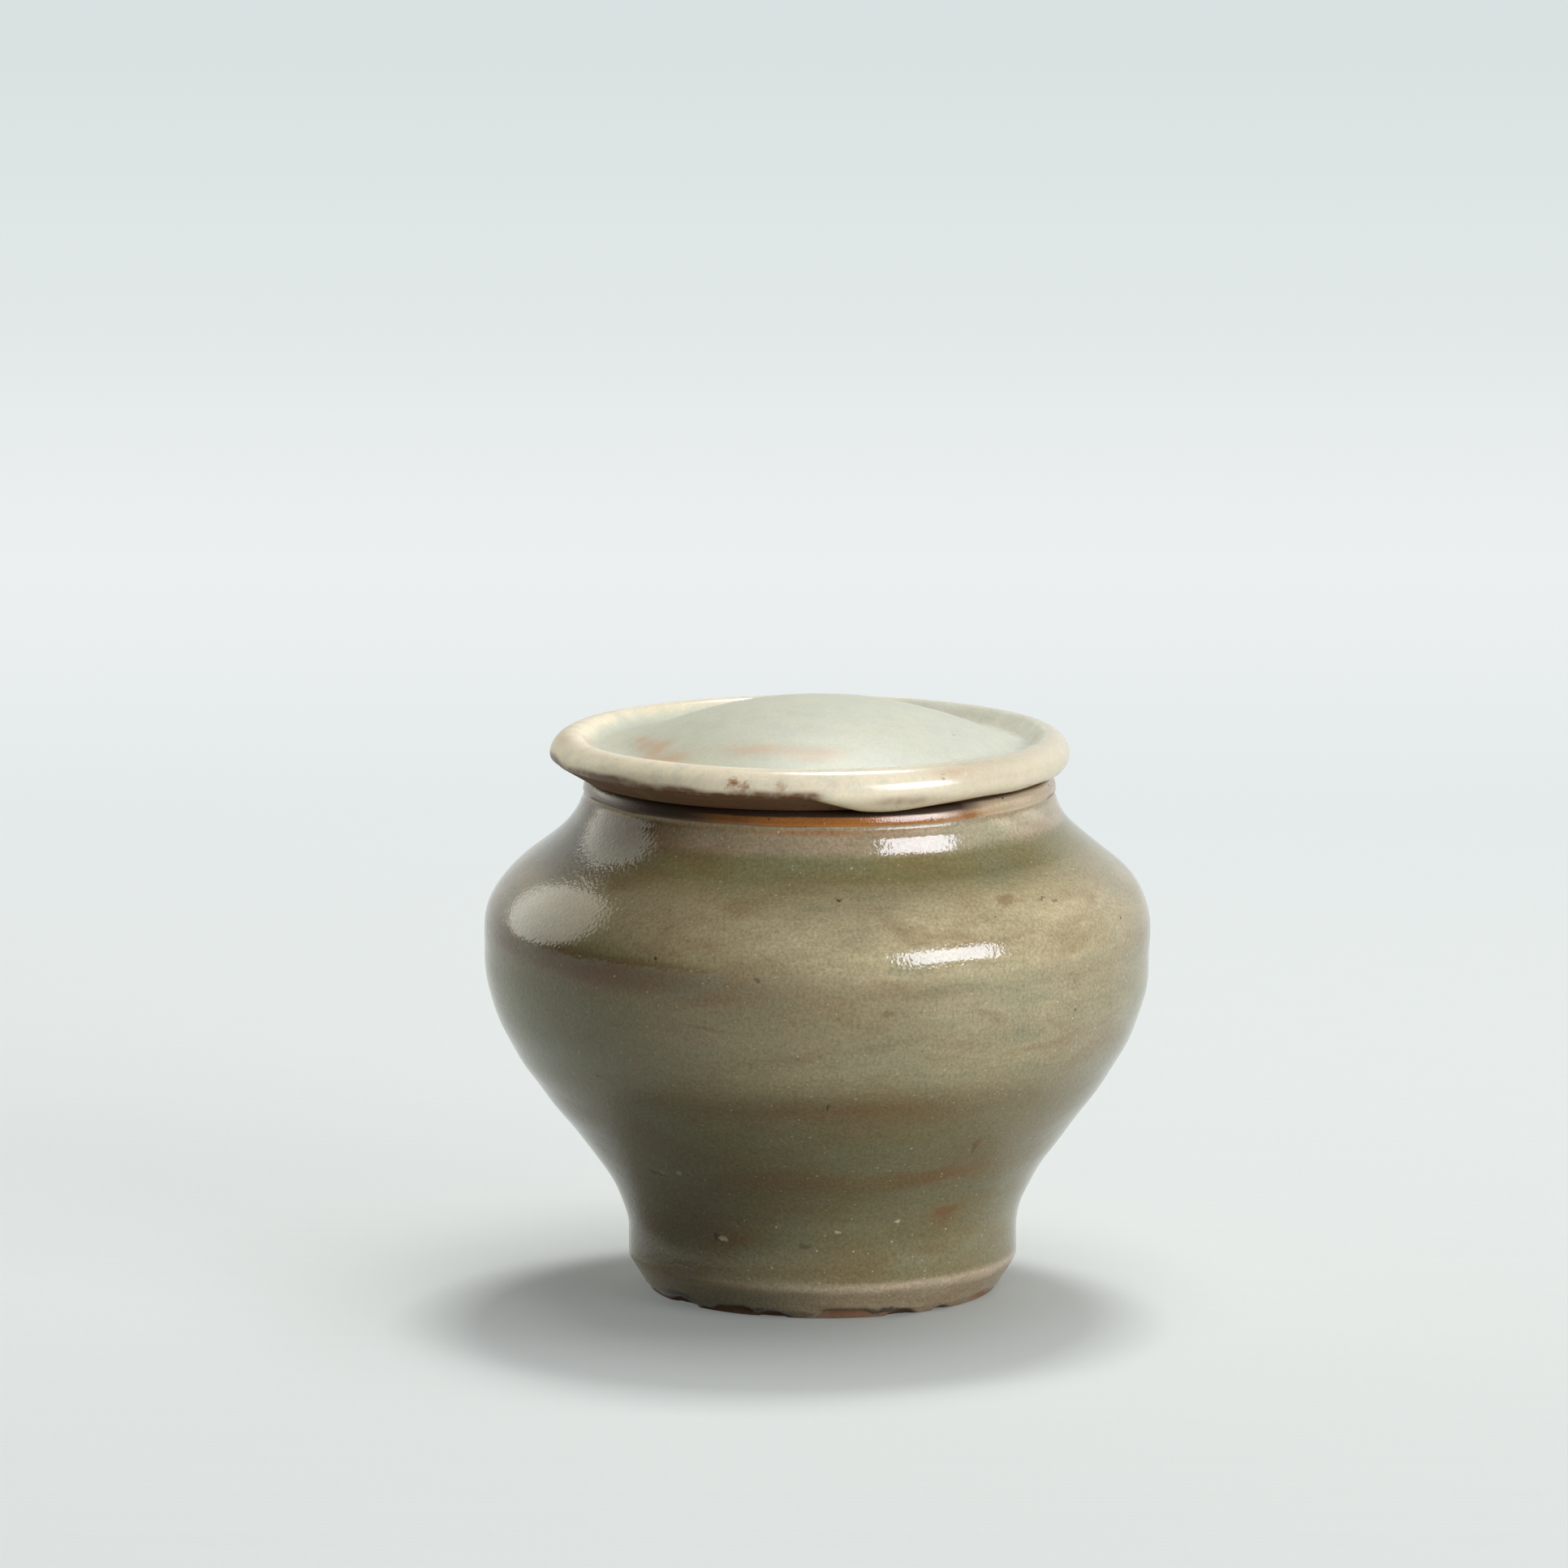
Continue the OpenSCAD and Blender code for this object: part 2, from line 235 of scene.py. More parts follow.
def closed_mesh(name, rows, loop, attributes=None):
    """A closed mesh from a grid of rows round the axis, an array of rows by segments by 3.
    With loop, the last row joins the first, as a ring does. Without, the first and last rows have
    each shrunk to a point, and become one vertex. Rows that rise have their outside on the right."""
    count, segments = rows.shape[:2]
    index = np.arange(count * segments).reshape(count, segments)
    points = rows.reshape(-1, 3)
    keep = np.ones(len(points), bool)
    if not loop:
        for row in (0, count - 1):
            points[index[row, 0]] = points[index[row]].mean(0)
            keep[index[row, 1:]] = False
            index[row] = index[row, 0]
    new_index = np.cumsum(keep) - 1
    index = new_index[index]
    below = index if loop else index[:-1]
    above = np.roll(index, -1, 0) if loop else index[1:]
    quads = np.stack([below, np.roll(below, -1, 1), np.roll(above, -1, 1), above], -1).reshape(-1, 4)
    faces = []
    for part, corners in (
        (quads[(quads[:, 0] != quads[:, 1]) & (quads[:, 2] != quads[:, 3])], [0, 1, 2, 3]),
        (quads[quads[:, 0] == quads[:, 1]], [0, 2, 3]),
        (quads[quads[:, 2] == quads[:, 3]], [0, 1, 2]),
    ):
        faces += part[:, corners].tolist()
    mesh = bpy.data.meshes.new(name)
    mesh.from_pydata(points[keep], [], faces)
    for key, values in (attributes or {}).items():
        layer = mesh.attributes.new(key, "FLOAT", "POINT")
        layer.data.foreach_set("value", values.reshape(-1)[keep].astype(np.float32))
    mesh.shade_smooth()
    mesh.set_sharp_from_angle(angle=math.radians(50))
    piece = bpy.data.objects.new(name, mesh)
    bpy.context.scene.collection.objects.link(piece)
    return piece


# The jar's shape


def jar_outline(sizes):
    """The glaze's outer surface from the ground to the start of the rim's round edge: a straight
    bevel, a small round, the upright foot, and cubic curves up the flank, shoulder and neck."""
    low = np.array([sizes.base_radius, 0])
    bevel_top = np.array([sizes.foot_radius, sizes.bevel_height])
    run = (bevel_top - low) / np.hypot(*(bevel_top - low))
    bevel_end = bevel_top - run * 0.9 * MM
    foot_start = bevel_top + [0, 0.9 * MM]
    foot_end = np.array([sizes.foot_radius, sizes.foot_height])
    belly = np.array([sizes.belly_radius, sizes.belly_height])
    shoulder = np.array([sizes.shoulder_radius, sizes.shoulder_height])
    rim = np.array([sizes.rim_radius, sizes.rim_height - 1.8 * MM])
    lean = math.radians(52)
    direction = np.array([-math.sin(lean), math.cos(lean)])
    flank = belly[1] - foot_end[1]
    upper = np.hypot(*(shoulder - belly))
    neck = np.hypot(*(rim - shoulder))
    return Outline(
        np.vstack([
            line(low, bevel_end, 40),
            cubic(bevel_end, bevel_top, bevel_top, foot_start, 30),
            line(foot_start, foot_end, 20),
            cubic(foot_end, foot_end + [0, 0.3 * flank], belly - [0, 0.43 * flank], belly, 200),
            cubic(
                belly, belly + [0, 0.31 * (shoulder[1] - belly[1])], shoulder - direction * 0.57 * upper, shoulder, 120
            ),
            cubic(shoulder, shoulder + direction * 0.33 * neck, rim - [0, 0.33 * neck], rim, 100),
            [rim],
        ])
    )


def hand_made(sizes, angle, z):
    """How far the thrown wall stands out from its outline: a spiral of finger ridges that climbs
    6.5 mm a turn, wandering and fading in and out, and slow waves of about a tenth of a millimetre."""
    wander = 0.9 * ripple(angle, z, 3, [1, 2], [0.03, 0.05])
    spiral = np.cos(2 * math.pi * z / (6.5 * MM) - angle + wander * 2)
    strength = 0.55 + 0.45 * ripple(angle, z, 5, [1, 2, 3], [0.022, 0.06])
    inside = smooth(5 * MM, 9 * MM, z) * smooth(sizes.rim_height - 1 * MM, sizes.rim_height - 7 * MM, z)
    slow = 0.1 * MM * ripple(angle, z, 8, [2, 3], [0.05, 0.11]) * smooth(0, 8 * MM, z)
    groove_low = 0.09 * MM * np.exp(-(((z - 13.5 * MM) / (0.35 * MM)) ** 2))
    groove_low = groove_low * smooth(-1.15, -0.95, angle) * smooth(0.35, 0.1, angle)
    front = smooth(1.05, 0.3, np.abs(angle - 0.35))
    under_rim = 0.48 * MM * np.exp(-(((z - sizes.rim_height + 3.9 * MM) / (1.5 * MM)) ** 2)) * front
    rim_still = smooth(sizes.rim_height - 1.8 * MM, sizes.rim_height - 3.4 * MM, z)
    return (sizes.ridge * spiral * strength * inside + slow) * rim_still + under_rim - groove_low


def drift(z):
    """How far the jar's middle leans left or right at a height, in metres: the wall came off the
    wheel a little out of true."""
    heights = np.array([0, 6, 20, 32, 44.7, 56, 68.7]) * MM
    return np.interp(z, heights, np.array([0.4, 0.4, 0.2, -0.1, -0.4, -0.2, 0]) * MM)


def glaze_edges(sizes, outline, angle):
    """The lengths along the outline at which the outer glaze starts and ends, for each angle.
    The lower edge lies about 1 mm up, and higher where the glaze was wiped off before firing."""
    low = 0.3 + 0.22 * ripple(angle, 0, 21, [5, 9, 14, 23], [1])
    degrees = np.degrees(angle)
    for middle, width, height in [
        (-31, 8.5, 0.6), (7, 10, 0.75), (62, 7, 0.5), (108, 13, 0.8), (163, 9, 0.6), (-95, 14, 0.7), (-150, 8, 0.5),
    ]:
        low = low + height * smooth(width, width * 0.6, np.abs(degrees - middle))
    for middle, width in [(-4, 2.2), (17, 1.2), (-45, 2), (80, 2), (-120, 2.4)]:
        low = low - 0.8 * smooth(width, 0, np.abs(degrees - middle))
    start = np.clip(low, 0.1, 3) * MM
    end = outline.length - (0.15 + 0.15 * ripple(angle, 0, 23, [2, 5, 9, 17], [1])) * MM
    return start, end


def coat_fullness(distance, fade):
    """How full a coat is at a distance from its edge, from 0 to 1: the sine of a quarter turn."""
    return np.sin(np.pi / 2 * np.clip(distance / fade, 0, 1))


def clay_inset(sizes, s, outline):
    """How deep the clay lies under the outline: the glaze's thickness, and nothing at both ends."""
    z = outline.at(s)[1]
    low = 0.35 + 0.65 * coat_fullness(z, 1.6 * MM)
    return sizes.glaze * low * coat_fullness(sizes.rim_height - 1.8 * MM - z, 1.6 * MM)


def chips(sizes):
    """Round bites that knocks took out of the foot's lower edge: centre, radius and angle of each."""
    low = np.array([sizes.base_radius, 0])
    run = np.array([sizes.foot_radius - sizes.base_radius, sizes.bevel_height])
    run /= np.hypot(*run)
    outwards = np.array([run[1], -run[0] - 1])
    outwards /= np.hypot(*outwards)
    bites = []
    for degrees, width in [(-52, 8), (-16, 6.4), (27, 5.4), (43, 3.4)]:
        depth = 0.12 * width * MM
        radius = ((width * MM / 2) ** 2 + depth**2) / (2 * depth)
        centre = low + outwards * (radius - depth)
        bites.append((turned(centre[0], centre[1], np.float64(math.radians(degrees))), radius))
    return bites


def bitten(points, bites, extra=0.0):
    """Points inside a bite's sphere are pushed out onto it, so that a hollow is left there."""
    for centre, radius in bites:
        away = points - centre
        distance = np.linalg.norm(away, axis=-1, keepdims=True)
        points = np.where(distance < radius + extra, centre + away / distance * (radius + extra), points)
    return points


def wall_points(sizes, outline, s, angle, depth):
    """Points of the thrown wall at lengths s and angles, at a depth under its surface."""
    r, z, nr, nz = outline.at(s)
    out = hand_made(sizes, angle, z) - depth
    return turned(r + nr * out, z + nz * out, angle, drift(z))


def outer_glaze_rows(sizes, outline, angle):
    """The outer coat as a ring of rows: up its surface from the lower edge to the rim, and back
    down on the clay. Its thickness grows from its edges as a quarter sine over 1.6 mm."""
    start, end = glaze_edges(sizes, outline, angle)
    share = np.unique(np.concatenate([
        np.linspace(0, 1, 13) ** 1.6 * 0.028, np.linspace(0.028, 0.09, 12), np.linspace(0.09, 0.97, 118),
        np.linspace(0.97, 1, 10),
    ]))[:, None]
    back = np.concatenate([np.linspace(1, 0.97, 5)[1:], np.linspace(0.97, 0.05, 34)[1:], [0.03, 0.015]])[:, None]
    rows, data = [], []
    for part, hidden in ((share, False), (back, True)):
        s = start + (end - start) * part
        inset = clay_inset(sizes, s, outline)
        thick = coat_fullness(s - start, 1.1 * MM) * coat_fullness(end - s, 1.6 * MM)
        depth = inset if hidden else inset * (1 - thick)
        rows.append(wall_points(sizes, outline, s, angle, depth))
        data.append(thick + 0 * s)
    points = bitten(np.vstack(rows), chips(sizes), 0.05 * MM)
    return points, np.vstack(data)


def jar_clay_rows(sizes, outline, angle):
    """The clay body from the middle of its underside out over the foot ring, up under the glaze,
    over the rim's rounded edge and down the inside to the middle of the floor."""
    ring = sizes.base_radius - 6 * MM
    under = np.vstack([
        line([0, 2.5 * MM], [ring - 1 * MM, 2.5 * MM], 14),
        line([ring - 1 * MM, 2.5 * MM], [ring, 0.12 * MM], 8),
        line([ring + 0.12 * MM, 0], [sizes.base_radius - 0.1 * MM, 0], 10),
    ])
    s = np.concatenate([np.linspace(0, 7 * MM, 26), np.linspace(7 * MM, outline.length - 4 * MM, 50)[1:],
                        np.linspace(outline.length - 4 * MM, outline.length, 16)[1:]])[:, None] + 0 * angle
    outside = wall_points(sizes, outline, s, angle, clay_inset(sizes, s, outline))
    top = outline.points[-1]
    land_out = [sizes.rim_radius - 1.15 * MM, sizes.rim_height]
    land_in = [sizes.mouth_radius + 0.95 * MM, sizes.rim_height]
    inner_top = [sizes.mouth_radius, top[1]]
    rim = np.vstack([
        quarter(top, land_out, 9)[1:], line(land_out, land_in, 6),
        quarter(inner_top, land_in, 8)[::-1], [inner_top],
    ])
    inside = inner_rows(sizes, outline, angle, 0.0, 74)[::-1][1:]
    r, z = rim[:, :1], rim[:, 1:]
    r = r + hand_made(sizes, angle, z) * (r > (sizes.rim_radius + sizes.mouth_radius) / 2)
    under = turned(under[:, :1], under[:, 1:], angle, drift(under[:, 1:]))
    low = bitten(np.vstack([under, outside]), chips(sizes))
    return np.vstack([low, turned(r, z, angle, drift(z)), inside])


def inner_rows(sizes, outline, angle, glaze, count):
    """The inside of the clay, or of a coat of that thickness on it, from the middle of the floor to
    the rim: a round bowl below the belly, and above it the outline less a wall that thins to the rim's."""
    belly_depth = sizes.wall + sizes.glaze
    rim_z = sizes.rim_height - 1.8 * MM
    bowl_top = np.array([sizes.belly_radius - belly_depth, sizes.belly_height])
    bowl = cubic(
        [0, sizes.floor_height], [0.85 * sizes.foot_radius, sizes.floor_height],
        bowl_top - [0, 0.36 * (sizes.belly_height - sizes.floor_height)], bowl_top, 160,
    )
    belly_s = outline.height_to_length(sizes.belly_height)
    s = np.linspace(belly_s, outline.length, 120)
    r, z, nr, nz = outline.at(s)
    rise = (z - sizes.belly_height) / (rim_z - sizes.belly_height)
    depth = belly_depth + (sizes.rim_radius - sizes.mouth_radius - belly_depth) * rise
    inner = Outline(np.vstack([bowl, np.stack([r - nr * depth, z - nz * depth], 1)]))
    r, z, nr, nz = inner.at(np.linspace(0, inner.length, count))
    coat = glaze * coat_fullness(rim_z - z, 1.6 * MM)
    wave = 0.05 * MM * ripple(angle, z[:, None], 12, [1, 2], [0.013, 0.03]) * smooth(0, 12 * MM, r[:, None])
    wave = wave * smooth(rim_z, rim_z - 6 * MM, z[:, None])
    out = -coat[:, None] + wave
    return turned(
        r[:, None] + nr[:, None] * out, z[:, None] + nz[:, None] * out, angle, drift(z[:, None])
    )


# The lid's shape


def lid_outline(sizes):
    """The lid's upper surface from the lower end of its coat round the lip, down into the gutter
    and over the dome to the middle, over a seat at height 0."""
    edge = np.array([sizes.radius, sizes.edge_height])
    bevel = np.array([sizes.radius - 0.55 * MM, 2.2 * MM])
    crest = np.array([sizes.radius - sizes.lip_width, sizes.lip_height])
    gutter = np.array([(sizes.dome_radius + crest[0]) / 2, 3.75 * MM])
    drop, power = 5.7 * MM, 2.06
    dome_edge = np.array([sizes.dome_radius, sizes.dome_height - drop])
    slope = -power * drop / sizes.dome_radius
    reach, lip_reach = (gutter[0] - dome_edge[0]) / 3, (crest[0] - gutter[0]) / 2
    r = np.linspace(sizes.dome_radius, 0, 120)
    dome = np.stack([r, sizes.dome_height - drop * (r / sizes.dome_radius) ** power], 1)
    rise = 0.55 * (sizes.lip_height - sizes.edge_height)
    return Outline(
        np.vstack([
            cubic(bevel, bevel + np.array([0.3, 0.2]) * MM, edge - [0, 0.3 * MM], edge, 30),
            cubic(edge, edge + [0, rise], crest + [0.55 * sizes.lip_width, 0], crest, 80),
            cubic(crest, crest - [lip_reach, 0], gutter + [lip_reach, 0], gutter, 60),
            cubic(gutter, gutter - [reach, 0], dome_edge + np.array([1, slope]) * reach, dome_edge, 50),
            dome,
        ])
    )


def lid_hand_made(sizes, r, angle):
    """How far the lid's surface stands out from its outline: slow waves round the lip and faint
    turning rings on the dome."""
    lip = 0.12 * MM * ripple(angle, r, 31, [2, 3, 5], [0.05])
    rings = 0.012 * MM * np.cos(2 * math.pi * r / (4.2 * MM) - angle) * smooth(25 * MM, 20 * MM, r)
    return lip * smooth(3 * MM, 12 * MM, r) + rings * smooth(1 * MM, 4 * MM, r)


def lid_centre(sizes, r):
    """The middle of the lid's rings: the lip's is the lid's own, and the dome's is 1 mm to the right."""
    return -sizes.shift + 1.0 * MM * smooth(sizes.radius - 2.5 * MM, sizes.dome_radius, r) + 0 * r


def run_share(angle):
    """How much of the glaze's run hangs at an angle: it starts with a step a little right of the
    front, is fullest there, and thins out towards the right-hand back."""
    degrees = np.degrees(angle)
    wave = 0.1 * ripple(angle, 0, 41, [7, 12, 19], [1])
    return smooth(-4, 13, degrees) * (1 - 0.28 * smooth(20, 45, degrees)) * smooth(128, 95, degrees) * (1 - wave)


def lid_points(sizes, outline, s, angle, depth):
    """Points of the lid at lengths s and angles, at a depth under its surface."""
    r, z, nr, nz = outline.at(s)
    out = lid_hand_made(sizes, r, angle) - depth
    return turned(r + nr * out, z + nz * out + LID_SEAT, angle, lid_centre(sizes, r))


def lid_glaze_rows(sizes, outline, angle):
    """The lid's coat from its lower edge over the lip and dome to the middle, and back on the clay.
    Where the run hangs, the lower edge bulges out and reaches down along the lid's bevel."""
    edge_s = np.interp(sizes.radius * 0.99999, outline.points[:40, 0], outline.along[:40])
    share = run_share(angle)
    t = np.linspace(0, 1, 22)[:, None]
    s = edge_s * t + 0 * angle
    lower = lid_points(sizes, outline, s, angle, 0.0)
    seat = np.array([30.1 * MM, 0])
    bevel = outline.points[0]
    down = (bevel - seat) / np.hypot(*(bevel - seat))
    run_end = seat + down * 1.1 * MM
    edge = np.array([sizes.radius, sizes.edge_height])
    bulge = sizes.run_bulge
    run = cubic(run_end, run_end + [1.1 * MM, -0.5 * bulge], edge - [0, bulge + 0.3 * MM], edge, 21)
    run = np.vstack([run, [edge]])
    out = lid_hand_made(sizes, run[:, :1], angle)
    hanging = turned(run[:, :1] + out, run[:, 1:] + LID_SEAT, angle, lid_centre(sizes, run[:, :1]))
    low_rows = lower * (1 - share[None, :, None]) + hanging * share[None, :, None]
    s = np.concatenate([
        np.linspace(edge_s, edge_s + 9 * MM, 46)[1:],
        np.linspace(edge_s + 9 * MM, outline.length, 62)[1:],
    ])[:, None] + 0 * angle
    top_rows = lid_points(sizes, outline, s, angle, 0.0)
    s = np.concatenate([
        np.linspace(outline.length, edge_s + 6 * MM, 16)[1:], np.linspace(edge_s + 6 * MM, 0.3 * MM, 9)[1:],
    ])[:, None] + 0 * angle
    depth = 0.5 * MM * coat_fullness(s, 1.6 * MM)
    return low_rows, top_rows, lid_points(sizes, outline, s, angle, depth)


def lid_clay_rows(sizes, outline, angle):
    """The lid's clay from the middle of its top out under the coat, round the edge to the bevel and
    seat, down and round the flange, and in under the dome to the middle."""
    s = np.concatenate([
        np.linspace(outline.length, 12 * MM, 22), np.linspace(12 * MM, 0, 22)[1:],
    ])[:, None] + 0 * angle
    upper = lid_points(sizes, outline, s, angle, 0.5 * MM * coat_fullness(s, 1.6 * MM))
    seat = np.array([30.1 * MM, 0])
    flange, inner = sizes.flange_radius, sizes.flange_radius - 3 * MM
    low, round_ = -sizes.flange_depth, 0.8 * MM
    outer_round = quarter([flange, low + round_], [flange - round_, low], 6)
    inner_round = quarter([inner, low + round_], [inner + round_, low], 6)
    r = np.linspace(inner, 0, 40)
    under = np.stack([r, sizes.dome_height - 3.5 * MM - 5.7 * MM * (r / sizes.dome_radius) ** 2.06], 1)
    shape = np.vstack([
        line(outline.points[0], seat, 12)[1:], line(seat, [flange, 0], 8), line([flange, 0], [flange, low + round_], 6),
        outer_round, line([flange - round_, low], [inner + round_, low], 4), inner_round[::-1],
        line([inner, low + round_], under[0], 12)[1:], under,
    ])
    lower = turned(shape[:, :1], shape[:, 1:] + LID_SEAT, angle, -sizes.shift)
    return np.vstack([upper, lower])


LID_SEAT = 68.7 * MM


# Materials


def add(tree, kind, inputs=None, **settings):
    """Adds one node, with its settings and its inputs: a value, or a socket to link."""
    node = tree.nodes.new("ShaderNode" + kind)
    for key, value in settings.items():
        setattr(node, key, value)
    for key, value in (inputs or {}).items():
        if isinstance(value, bpy.types.NodeSocket):
            tree.links.new(value, node.inputs[key])
        else:
            node.inputs[key].default_value = value
    return node


# Bands of tone on the outer celadon: height and half height in mm, angle and half angle in degrees
# from the front, fall in mm per degree, flatness of the profile, and strength.
BANDS = {
    "amber": [(54.5, 4.6, 0, 900, 0.0, 4, 0.9)],
    "straw": [
        (54.6, 5.4, 22, 48, 0.0, 2, 0.95), (45.5, 4.0, 32, 24, 0.0, 2, 0.45), (50.0, 2.4, 14, 30, 0.0, 2, 0.5),
        (58.0, 2.4, 44, 20, 0.0, 2, 0.4), (54.0, 5.0, 170, 50, 0.0, 2, 0.5), (38.0, 4.5, 34, 26, 0.0, 2, 0.3),
        (53.0, 4.0, -105, 30, 0.0, 2, 0.4), (41.0, 8.0, 64, 18, 0.0, 2, 0.2), (36.5, 3.5, 0, 30, 0.0, 2, 0.2), (18.0, 3.0, -33, 12, 0.0, 2, 0.3),
    ],
    "sage": [
        (39.0, 11.0, -58, 23, 0.0, 2, 0.9), (38.5, 4.0, 11, 11, 0.0, 2, 0.3), (38.0, 9.0, 150, 40, 0.0, 2, 0.7),
        (30.0, 9.0, -130, 30, 0.0, 2, 0.6), (26.0, 5.0, -6, 7, 0.0, 2, 0.3),
    ],
    "mist": [
        (28.0, 14.0, 76, 24, 0.0, 2, 0.8), (30.0, 8.0, -66, 16, 0.0, 2, 0.7), (43.0, 5.0, 30, 18, 0.0, 2, 0.2),
        (24.0, 9.0, 165, 30, 0.0, 2, 0.5),
    ],
    "deep": [
        (22.5, 8.2, 0, 900, 0.0, 4, 0.8), (30.0, 3.4, -4, 30, 0.0, 2, 0.55), (47.0, 4.2, -36, 22, -0.03, 2, 0.45),
        (10.0, 3.0, -32, 24, 0.0, 2, 0.9), (40.0, 12.0, -38, 13, 0.0, 2, 0.35), (13.0, 3.0, 30, 8, 0.0, 2, 0.4), (26.0, 8.0, 0, 900, 0.0, 2, 0.6),
        (12.0, 8.0, 0, 900, 0.0, 2, 0.65),
        (7.4, 2.2, 0, 900, 0.0, 2, 0.9),
    ],
    "iron": [
        (48.4, 2.3, -42, 26, -0.07, 4, 1.0), (31.2, 1.7, 4, 26, 0.0, 2, 0.65), (44.0, 5.0, -4, 26, 0.0, 2, 0.15), (20.3, 2.0, 27, 15, 0.02, 2, 0.75),
        (20.0, 2.0, -12, 14, 0.0, 2, 0.45), (49.0, 1.3, -70, 12, -0.02, 2, 0.5), (44.0, 1.1, -128, 24, 0.03, 2, 0.6),
        (29.0, 1.5, 120, 26, -0.02, 2, 0.5), (14.6, 1.7, 34, 6, 0.0, 2, 0.7), (9.8, 1.2, -24, 8, 0.0, 2, 0.7),
        (46.6, 1.0, 20, 8, 0.02, 2, 0.35), (9.6, 1.2, 30, 9, 0.0, 2, 0.4),
    ],
    "pooled": [(61.6, 1.5, 0, 900, 0.0, 4, 0.92), (59.8, 2.3, 0, 900, 0.0, 2, 0.5)],
    "thin": [(65.2, 2.1, 0, 900, 0.0, 8, 1.0)],
    # the band at 66.9 mm and 36 degrees is a painted glint on the rim
    "bubble_and_glint": [(65.7, 2.2, 50, 20, 0.0, 4, 0.65), (66.9, 0.9, 36, 9, 0.0, 2, 0.6)],
    # the umber bands at 61 to 67 mm on the left of the neck are painted shade under the lid
    "umber_and_shade": [(64.9, 2.9, -58, 24, 0.0, 2, 0.9), (67.1, 1.5, -40, 22, 0.0, 4, 1.3), (61.0, 2.5, -55, 16, 0.0, 2, 0.7), (65.5, 2.0, 175, 40, 0.0, 2, 0.5),
        (10.0, 6.0, -64, 24, 0.0, 2, 0.5), (48.5, 1.6, -42, 22, -0.07, 2, 0.35), (64.6, 1.8, -10, 16, 0.0, 2, 0.15)],
    "rust": [
        (67.5, 1.7, -6, 24, 0.0, 8, 1.0), (67.2, 1.0, 0, 900, 0.0, 4, 0.15), (66.6, 1.3, -110, 30, 0.0, 4, 0.6),
        (66.9, 0.8, 34, 22, 0.0, 2, 0.4), (67.4, 1.2, 150, 40, 0.0, 4, 0.6),
    ],
}


def glaze_bands(angle, z):
    """How much of each tone the outer celadon shows: for each band e to the power of minus its height
    from the band's middle, raised to its flatness, and minus its angle from it, squared. The heights
    wander by about a millimetre, and the bands of one tone add up, to 1 at most."""
    degrees = np.degrees(angle)
    wander = 1.1 * ripple(angle, z, 51, [1, 2, 3], [0.02, 0.045])
    masks = {}
    for tone, bands in BANDS.items():
        total = np.zeros(z.shape)
        calm = 0.25 if tone in ("pooled", "thin", "rust") else 1.0
        for height, half, middle, reach, fall, flat, strength in bands:
            off = (degrees - middle + 180) % 360 - 180
            up = (z / MM + calm * wander - height - fall * off) / half
            total = total + strength * np.exp(-np.abs(up) ** flat - (off / reach) ** 2)
        masks[tone] = np.clip(total, 0, 1)
    return masks


# Marks on the outer celadon: angle in degrees, height, half width and half height in mm, turn in
# degrees, colour and strength.
MARKS = [
    # the first three marks are painted shade in the hollows of the foot's chips
    (-52, 1.2, 3.6, 1.0, 0, "speck_and_shade", 0.9), (-20, 0.7, 2.4, 0.7, 0, "speck_and_shade", 0.85), (22, 0.8, 3.0, 0.7, 0, "speck_and_shade", 0.85),
    (3.6, 58.3, 0.45, 0.22, 0, "speck_and_shade", 0.9), (35.3, 24.0, 0.3, 1.5, 4, "speck_and_shade", 0.6), (35.6, 24.6, 0.7, 0.5, 0, "iron", 0.7),
    (-43.3, 19.4, 1.7, 0.24, -8, "speck_and_shade", 0.75), (-41.3, 19.7, 0.5, 0.35, 0, "trim", 0.6),
    (46.6, 56.8, 0.9, 0.2, 14, "speck_and_shade", 0.6), (49.5, 56.2, 0.7, 0.2, 20, "speck_and_shade", 0.45), (37.8, 57.2, 1.8, 0.8, 10, "iron", 0.5),
    (41.0, 57.0, 0.5, 0.3, 0, "rust", 0.35), (35.9, 14.5, 2.0, 0.7, 8, "iron", 0.7), (11.4, 44.4, 1.1, 0.5, 0, "iron", 0.55),
    (-10.6, 48.8, 0.4, 0.3, 0, "speck_and_shade", 0.6), (1.4, 31.5, 0.25, 0.45, 0, "speck_and_shade", 0.8), (-33.9, 36.6, 0.4, 0.35, 0, "rust", 0.5),
    (-25.4, 28.8, 0.5, 0.4, 0, "iron", 0.8), (-65.6, 51.9, 0.4, 0.25, 0, "speck_and_shade", 0.8), (-30.8, 10.8, 0.9, 0.6, 0, "speck_and_shade", 0.7),
    (-29.0, 10.7, 0.8, 0.4, 0, "bubble_and_glint", 0.75), (-4.4, 10.3, 0.8, 0.5, 0, "speck_and_shade", 0.4), (-20.0, 42.2, 3.4, 0.22, -6, "iron", 0.5),
    (-36.0, 19.9, 0.6, 0.3, 0, "bubble_and_glint", 0.5), (5.0, 12.4, 0.6, 0.2, 0, "bubble_and_glint", 0.6), (21.5, 13.6, 0.4, 0.25, 0, "bubble_and_glint", 0.6),
    (105.0, 41.0, 1.2, 0.4, 10, "iron", 0.6), (-118.0, 25.0, 0.5, 0.4, 0, "speck_and_shade", 0.6), (168.0, 33.0, 1.6, 0.6, 5, "iron", 0.6),
]


def new_material(name):
    """A material with its node tree and its shader."""
    material = bpy.data.materials.new(name)
    material.use_nodes = True
    return material, material.node_tree, material.node_tree.nodes["Principled BSDF"]


